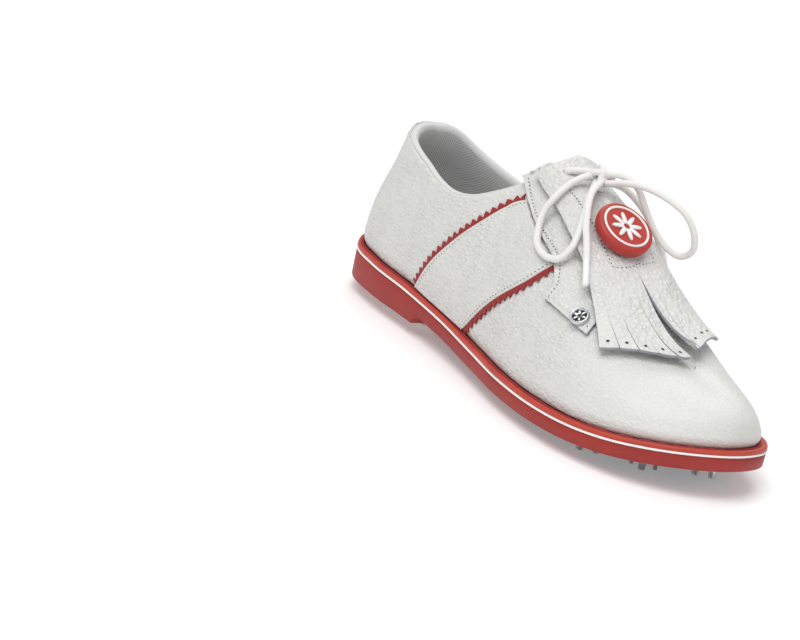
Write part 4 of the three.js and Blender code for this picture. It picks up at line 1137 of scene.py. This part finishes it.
def step_over(w, v, vector):
    """The change of (w, v) that moves a surface point by vector."""
    along, up = slopes(w, v)
    aa, au, uu = (along * along).sum(-1), (along * up).sum(-1), (up * up).sum(-1)
    pa, pu = (along * vector).sum(-1), (up * vector).sum(-1)
    det = aa * uu - au * au
    return (pa * uu - pu * au) / det, (pu * aa - pa * au) / det


def beside(line, side, s, away, distance):
    """(w, v) of points at a distance from a line on the surface, on the side that away says."""
    w, v = put(side, line(s))
    before, after = (surface(*put(side, line(np.clip(s + h, 0, 1)))) for h in (-0.004, 0.004))
    dw, dv = step_over(w, v, np.cross(unit(after - before), outward(w, v)) * away * side)
    return w + dw * distance, v + dv * distance


def panel(side, rear, front, t):
    """(w, v) of a patch between two lines, and its width at each place along them."""
    w, v = put(side, mix(rear[:, None], front[:, None], t[None, :, None]))
    ends = surface(w[:, 0], v[:, 0]) - surface(w[:, -1], v[:, -1])
    return w, v, np.linalg.norm(ends, axis=-1)[:, None]


THREAD_ROWS = [(0, 0.35, -0.12), (0.2, 0.95, 0.06), (0.5, 1.0, 0.14), (0.8, 0.95, 0.06), (1, 0.35, -0.12)]


def thread_run(points, normals, body="shoe", radius=0.24):
    """Stitches along a line on the leather: a short thread, then a dark disc, painted shade, for a needle hole."""
    far, pitch = travelled(points), 2.1
    count = max(2, int(far[-1] / pitch))
    at = lambda q: sample(q, far, points)
    up_at = lambda q: unit(sample(q, far, normals))
    for k in range(count):
        q = (k + 0.5) * far[-1] / count
        a, b, up = at(q - 0.33 * pitch), at(q + 0.33 * pitch), up_at(q)
        run = unit(b - a)
        ring_of = round_about(circle(6), np.cross(run, up), up)
        rows = [mix(a, b, share) + up * lift + radius * size * ring_of for share, size, lift in THREAD_ROWS]
        q = q + 0.5 * pitch
        up = up_at(q)
        # the needle hole: a dark disc, painted shade
        slit = at(q) + round_about(circle(10), 0.5 * run, 0.25 * np.cross(run, up))
        stitch_parts[body] += [solid(rows), solid([slit - 0.15 * up, slit + 0.04 * up], 1)]


def sew(w, v, d):
    thread_run(skin(w, v, d + 0 * w), outward(w, v))


def make_tab_stitches():
    """Down one side of the strap, across its foot and up the other side."""
    side, low, high, still = 0.84, 0.07, 0.93, np.ones(30)
    s = np.concatenate([-side * still, np.linspace(-side, side, 30), side * still])
    t = np.concatenate([np.linspace(high, low, 30), low * still, np.linspace(low, high, 30)])
    sew(*tab_place(s, t), TAB_D - smooth(t, 0.95, 1.0))


def make_saddles():
    s, t, along = span(90), span(61), np.linspace(0.03, 0.985, 160)
    for name, side in SIDES.items():
        w, v, width = panel(side, SADDLE_REAR(s), SADDLE_FRONT(s), t)
        near = np.minimum(t, 1 - t)[None, :] * width
        d = SADDLE_D - 0.2 * bell(near, SEAM_INSET, 0.5) + 0.3 * smooth(near, 2.2, 9.0)
        d = d - 1.0 * smooth(s, 0.985, 1.0)[:, None] + undulation(surface(w, v)) * smooth(near, 2, 6)
        patch(f"saddle_leather_{name}", f"saddle_{name}", w, v, d, [LEATHER, THREAD], 1.3)
        for line, away in ((SADDLE_REAR, -1), (SADDLE_FRONT, 1)):
            sew(*beside(line, side, along, away, SEAM_INSET), SADDLE_D - 0.15)


def make_pinked_strips():
    across = np.array([-1.4, 0.2, 0.6, 0.9, 1.0])[None, :]
    for name, side in SIDES.items():
        for place, line, away, end in (("rear", SADDLE_REAR, 1, 0.965), ("front", SADDLE_FRONT, -1, 0.985)):
            teeth = round(evenly(line, side, end, 2)[1] / TOOTH)
            s, _ = evenly(line, side, end, teeth * 12 + 1)
            phase = (np.linspace(0, teeth, teeth * 12 + 1) + 0.5) % 1
            tooth = 1.1 - np.sqrt(np.abs(2 * phase - 1) ** 2 + 0.012)
            reach = STRIP_W + TOOTH_DEPTH * np.clip(tooth, 0, 1)
            distance = np.where(across <= 0.2, across, across * reach[:, None])
            w, v = beside(line, side, s[:, None] + 0 * distance, away, distance)
            d = STRIP_D + 0.12 * (across < 0.95) + 0 * w
            patch(f"pinked_edge_{place}_{name}", f"pinked_strip_{place}_{name}", w, v, d, [PINKED_RED], 0.75, 0.12)


FACING_REAR = path([
    (0.464, 0.69), (0.499, 0.648), (0.556, 0.614), (0.614, 0.58), (0.627, 0.54), (0.636, 0.501), (0.628, 0.425),
])
FACING_FRONT = path([
    (0.484, 0.74), (0.513, 0.84), (0.56, 0.855), (0.66, 0.862), (0.752, 0.8), (0.75, 0.62), (0.735, 0.447),
])
FACING_D, FACING_INSET = 2.15, 2.2


def make_facings():
    s, t = span(85), span(45)
    for name, side in SIDES.items():
        rear, front = FACING_REAR(s), FACING_FRONT(s)
        w, v, width = panel(side, rear, front, t)
        ends = np.minimum(s, 1 - s)[:, None] * travelled(surface(w[:, 20], v[:, 20]))[-1]
        near = np.minimum(np.minimum(t, 1 - t)[None, :] * width, ends)
        d = FACING_D - 0.2 * bell(near, FACING_INSET, 0.6) + 0.2 * smooth(near, 2.6, 8.0)
        patch(f"facing_leather_{name}", f"facing_{name}", w, v, d, [LEATHER, CUT_EDGE], 1.7)
        inset = FACING_INSET / width
        end = np.linspace(inset[-4, 0], 1 - inset[-4, 0], 40)[:, None]
        for run in (mix(rear, front, inset)[2:-3], mix(rear[-4], front[-4], end)):
            sew(*put(side, run), FACING_D - 0.13)


RIVET = (0.712, 0.485)


def make_rivet():
    """Round stud: a domed rim, spokes and a boss over a recess whose floor is near-black metal, painted shade."""
    place = tuple(np.asarray(part) for part in RIVET)
    up, base = outward(*place), skin(*place, FACING_D - 0.05)
    rim = [(0.1, 1.0), (3.4, 1.2), (3.6, 2.0), (4.1, 2.1), (4.5, 1.6), (4.6, 0.6), (4.5, 0), (0.1, 0)]
    recess = [(0.1, 0.9), (3.45, 0.9), (3.45, 1.25), (0.1, 1.25)]
    side = unit(np.cross(up, [0, 0, 1.0]))
    spokes = petals(base, side, np.cross(up, side), up, 3.4, 1.2, 6, 1.0, 1.9, 96, 0.7)
    # the recess disc is painted shade
    parts = [solid(turned(rim, 48, base, up)), solid(turned(recess, 48, base, up), 1), spokes]
    joined("rivet_stud", ["rivet"], parts, [STEEL, RECESS_SHADE_METAL])


EYELET_V, EYELET_U = 0.812, (0.505, 0.55, 0.595, 0.64)
ROW_D = FACING_D + 0.9 + LACE_D / 2  # height of a row's middle line at its eyelets
ROW_STEPS = [  # forward, v and d of half a row, from the facing's edge to the middle
    (0, 0.795, ROW_D - 1.6), (0, EYELET_V, ROW_D - 0.2), (0.1, 0.84, ROW_D - 0.5), (0.35, 0.876, 1.8),
    (0.6, 0.905, -1.0), (0.85, 0.95, -2.9),
]


def make_lacing():
    steps = [(LATERAL, *step) for step in ROW_STEPS + [(1, 1.0, -3.4)]]
    steps += [(MEDIAL, *step) for step in ROW_STEPS[::-1]]
    for i, u in enumerate(EYELET_U, 1):
        lean = 0.035 if i == 1 else 0.005
        line, _ = through([skin(on_side(side, u + forward * lean), v, d) for side, forward, v, d in steps], 1.0)
        tube(f"lace_row_{i}_braid", [f"lace_row_{i}"], line, LACE_D / 2 - 0.1, [LACE], sides=12)
        for name, side in SIDES.items():
            place = on_side(side, u), EYELET_V - 0.008
            ring_ = ring_part(skin(*place, FACING_D + 0.05), outward(*place), 1.5, 3.1, -0.2, 0.5, 36)
            joined(f"eyelet_ring_{name}_{i}", [f"eyelet_{name}_{i}"], [ring_], [STEEL])


make_tab_stitches()
make_saddles()
make_pinked_strips()
make_facings()
make_rivet()
make_lacing()


# ---- the kiltie ----
FRINGE = 0.585
STRIP_EDGES = [-1, -0.886, -0.76, -0.61, -0.43, -0.12, 0.3, 0.566, 0.74, 0.877, 1]
STRIPS, OPEN_CUT = len(STRIP_EDGES) - 1, 4
CUT_STARTS = (0.72, 0.8, 0.86, 0.74, 0.6, 0.66, 0.7, 0.7, 0.73)
CUT_WIDTHS = (0.05, 0.04, 0.04, 0.07, 0.55, 0.06, 0.05, 0.05, 0.05)  # of a strip, at the fringe's end
STRIP_LIFTS = (0.2, 0.0, 0.2, 0.1, 0.4, 3.3, 3.2, 2.7, 1.8, 0.8)
STRIP_ENDS = (1.0, 1.004, 1.01, 1.008, 1.015, 1.0, 0.997, 0.996, 0.99, 0.985)


def strip_lift(i, a, across):
    """How far a strip stands off at its end, with a slight curl across it."""
    t = np.clip((a - FRINGE) / (1 - FRINGE), 0, 1)
    twist = 1.6 * t ** 2 * (0.5 - 0.5 * across) if i == OPEN_CUT + 1 else 0.0
    return STRIP_LIFTS[i] * t ** 1.5 + 0.3 * t * across ** 2 + twist


def punch(a, b, d, lift, profile, segments):
    """A dark disc set in the flap: painted shade standing in for a punched hole."""
    return solid(turned(profile, segments, *kiltie_at(a, b, d, lift)))


def make_kiltie():
    columns = np.interp(np.arange(STRIPS * 12 + 1) / 12, np.arange(STRIPS + 1), STRIP_EDGES)
    a, b = np.meshgrid(np.linspace(0, FRINGE, 70), columns, indexing="ij")
    soft = 0.25 * np.sin(7 * a + 3 * b) * np.sin(5 * b + 1) + 0.2 * np.sin(13 * b + 4 * a)
    points, normals = kiltie_at(a, b, KILTIE_T, soft * smooth(a, 0, 0.1) * smooth(FRINGE - a, 0, 0.1))
    grids, punches = [points], []
    share = span(13)[None, :]
    for i in range(STRIPS):
        down = mix(FRINGE, STRIP_ENDS[i], span(42))
        width = STRIP_EDGES[i + 1] - STRIP_EDGES[i]
        gaps = [
            0.5 * width * CUT_WIDTHS[k] * np.clip((down - CUT_STARTS[k]) / (1 - CUT_STARTS[k]), 0, 1)
            if 0 <= k < STRIPS - 1 else 0 * down for k in (i - 1, i)
        ]
        left, right = STRIP_EDGES[i] + gaps[0], STRIP_EDGES[i + 1] - gaps[1]
        b = mix(left[:, None], right[:, None], share)
        a = down[:, None] + 0 * b
        grids.append(kiltie_at(a, b, KILTIE_T, strip_lift(i, a, 2 * share - 1))[0])
        place = down[-5], (left[-5] + right[-5]) / 2, KILTIE_T + 0.02, strip_lift(i, down[-5], 0.0)
        punches.append(punch(*place, [(0.1, -0.3), (0.85, -0.3), (0.82, 0.07), (0.1, 0.02)], 16))
    leaf("kiltie_leather", ["kiltie"], grids, normals, [LEATHER_COARSE, CUT_EDGE], KILTIE_T, 0.16, "kiltie")
    for side in (LATERAL, MEDIAL):
        place = LACE_HOLE[0], side * LACE_HOLE[1], KILTIE_T, 0.0
        punches.append(punch(*place, [(0.1, -0.3), (2.0, -0.3), (1.95, 0.04), (0.1, -0.05)], 24))
    # the punched holes are dark discs, painted shade
    joined("kiltie_punched_hole_shades", [], punches, [HOLE_SHADE], "kiltie")
    a, b = np.meshgrid(np.linspace(0.14, 0.57, 30), np.linspace(-0.62, 0.62, 40), indexing="ij")
    points, normals = kiltie_at(a, b, -0.15)
    leaf("kiltie_backing_leather", ["kiltie_backing"], [points], normals, [SUEDE], 0.6, 0.1, "kiltie")


STITCHED = np.array([(0.13, -0.62), (0.13, 0.62), (0.56, 0.62), (0.56, -0.62), (0.13, -0.62)])


def make_kiltie_stitches():
    for first, second in zip(STITCHED[:-1], STITCHED[1:]):
        a, b = mix(first[:, None], second[:, None], span(80))
        thread_run(*kiltie_at(a, b, KILTIE_T + 0.02), "kiltie", 0.2)


BADGE_R, BADGE_H = 14, 4


def make_badge():
    """Thick round rubber disc with a raised white ring and a flower."""
    up = unit(np.array([0.53, 0.03, 0.85]))
    seat, _ = kiltie_at(0.42, -0.2, KILTIE_T + 0.3 + 2.1)
    steps = [
        (1.6, -1.6), (0.6, -1.2), (0.15, 0.2), (0, 1.2), (0, BADGE_H - 1.3), (0.25, BADGE_H - 0.5),
        (0.8, BADGE_H - 0.08), (1.3, BADGE_H), (4.2, BADGE_H),
    ]
    profile = [(0.2, -1.6), *((BADGE_R - inset, height) for inset, height in steps), (0.2, BADGE_H)]
    loft("badge_rubber_disc", ["badge_disc"], turned(profile, 96, seat, up), [BADGE_RED], "kiltie")
    side = unit(np.cross(up, [0.1, 1, 0]))
    low = BADGE_H - 0.2
    rim = ring_part(seat, up, 10.5, 11.6, low, BADGE_H + 0.6, 96)
    flower = petals(seat, side, np.cross(up, side), up, 8.0, 2.6, 8, low, BADGE_H + 0.7, 160)
    for name, part in (("ring", rim), ("flower", flower)):
        joined(f"badge_white_{name}", [f"badge_{name}"], [part], [BADGE_WHITE], "kiltie")


make_kiltie()
make_kiltie_stitches()
make_badge()
for body_name, parts in stitch_parts.items():
    joined(f"stitching_{body_name}", [], parts, [THREAD, HOLE_SHADE], body_name)


# ---- CAD pieces that stay, with their materials ----
KEPT = {
    "cork_filler": CORK, "shank_stiffener": STEEL, "insole_board": BOARD, "vamp_lining": SUEDE, "toe_puff": EVA,
    "heel_counter": EVA,
}
for thing in bpy.context.scene.objects:
    if thing.type == "MESH" and thing.name in KEPT:
        for material_slot in thing.material_slots:
            material_slot.material = KEPT[thing.name]


# ---- floor and light ----
LIGHTS = {  # place, size, power
    "key": ((0.35, -0.95, 2.2), 2.0, 46), "front": ((2.2, 0.4, 1.2), 1.2, 6), "back": ((-1.2, 1.2, 2.0), 1.2, 16),
}
WORLD_LIGHT, FLOOR_GLOW = 0.42, 0.24


def make_stage():
    mesh = bpy.data.meshes.new("floor")
    mesh.from_pydata([(-9, -9, 0), (9, -9, 0), (9, 9, 0), (-9, 9, 0)], [], [(0, 1, 2, 3)])
    white = (1, 1, 1)
    look = Look("floor_pale", (0.8, 0.8, 0.8), 0.5, 0.3, emission_color=white, emission_strength=FLOOR_GLOW)
    mesh.materials.append(look.material)
    place_object("floor", mesh)
    world = bpy.context.scene.world = bpy.data.worlds.new("studio")
    world.use_nodes = True
    background = world.node_tree.nodes["Background"]
    background.inputs["Color"].default_value = (*white, 1)
    background.inputs["Strength"].default_value = WORLD_LIGHT
    for name, (place, size, power) in LIGHTS.items():
        data = bpy.data.lights.new(name, "AREA")
        data.size, data.energy = size, power
        light = place_object(name, data)
        light.location = place
        light.rotation_euler = (Vector((0, 0, 0.04)) - Vector(place)).to_track_quat("-Z", "Y").to_euler()
    bpy.context.scene.view_settings.view_transform = "Standard"


make_stage()
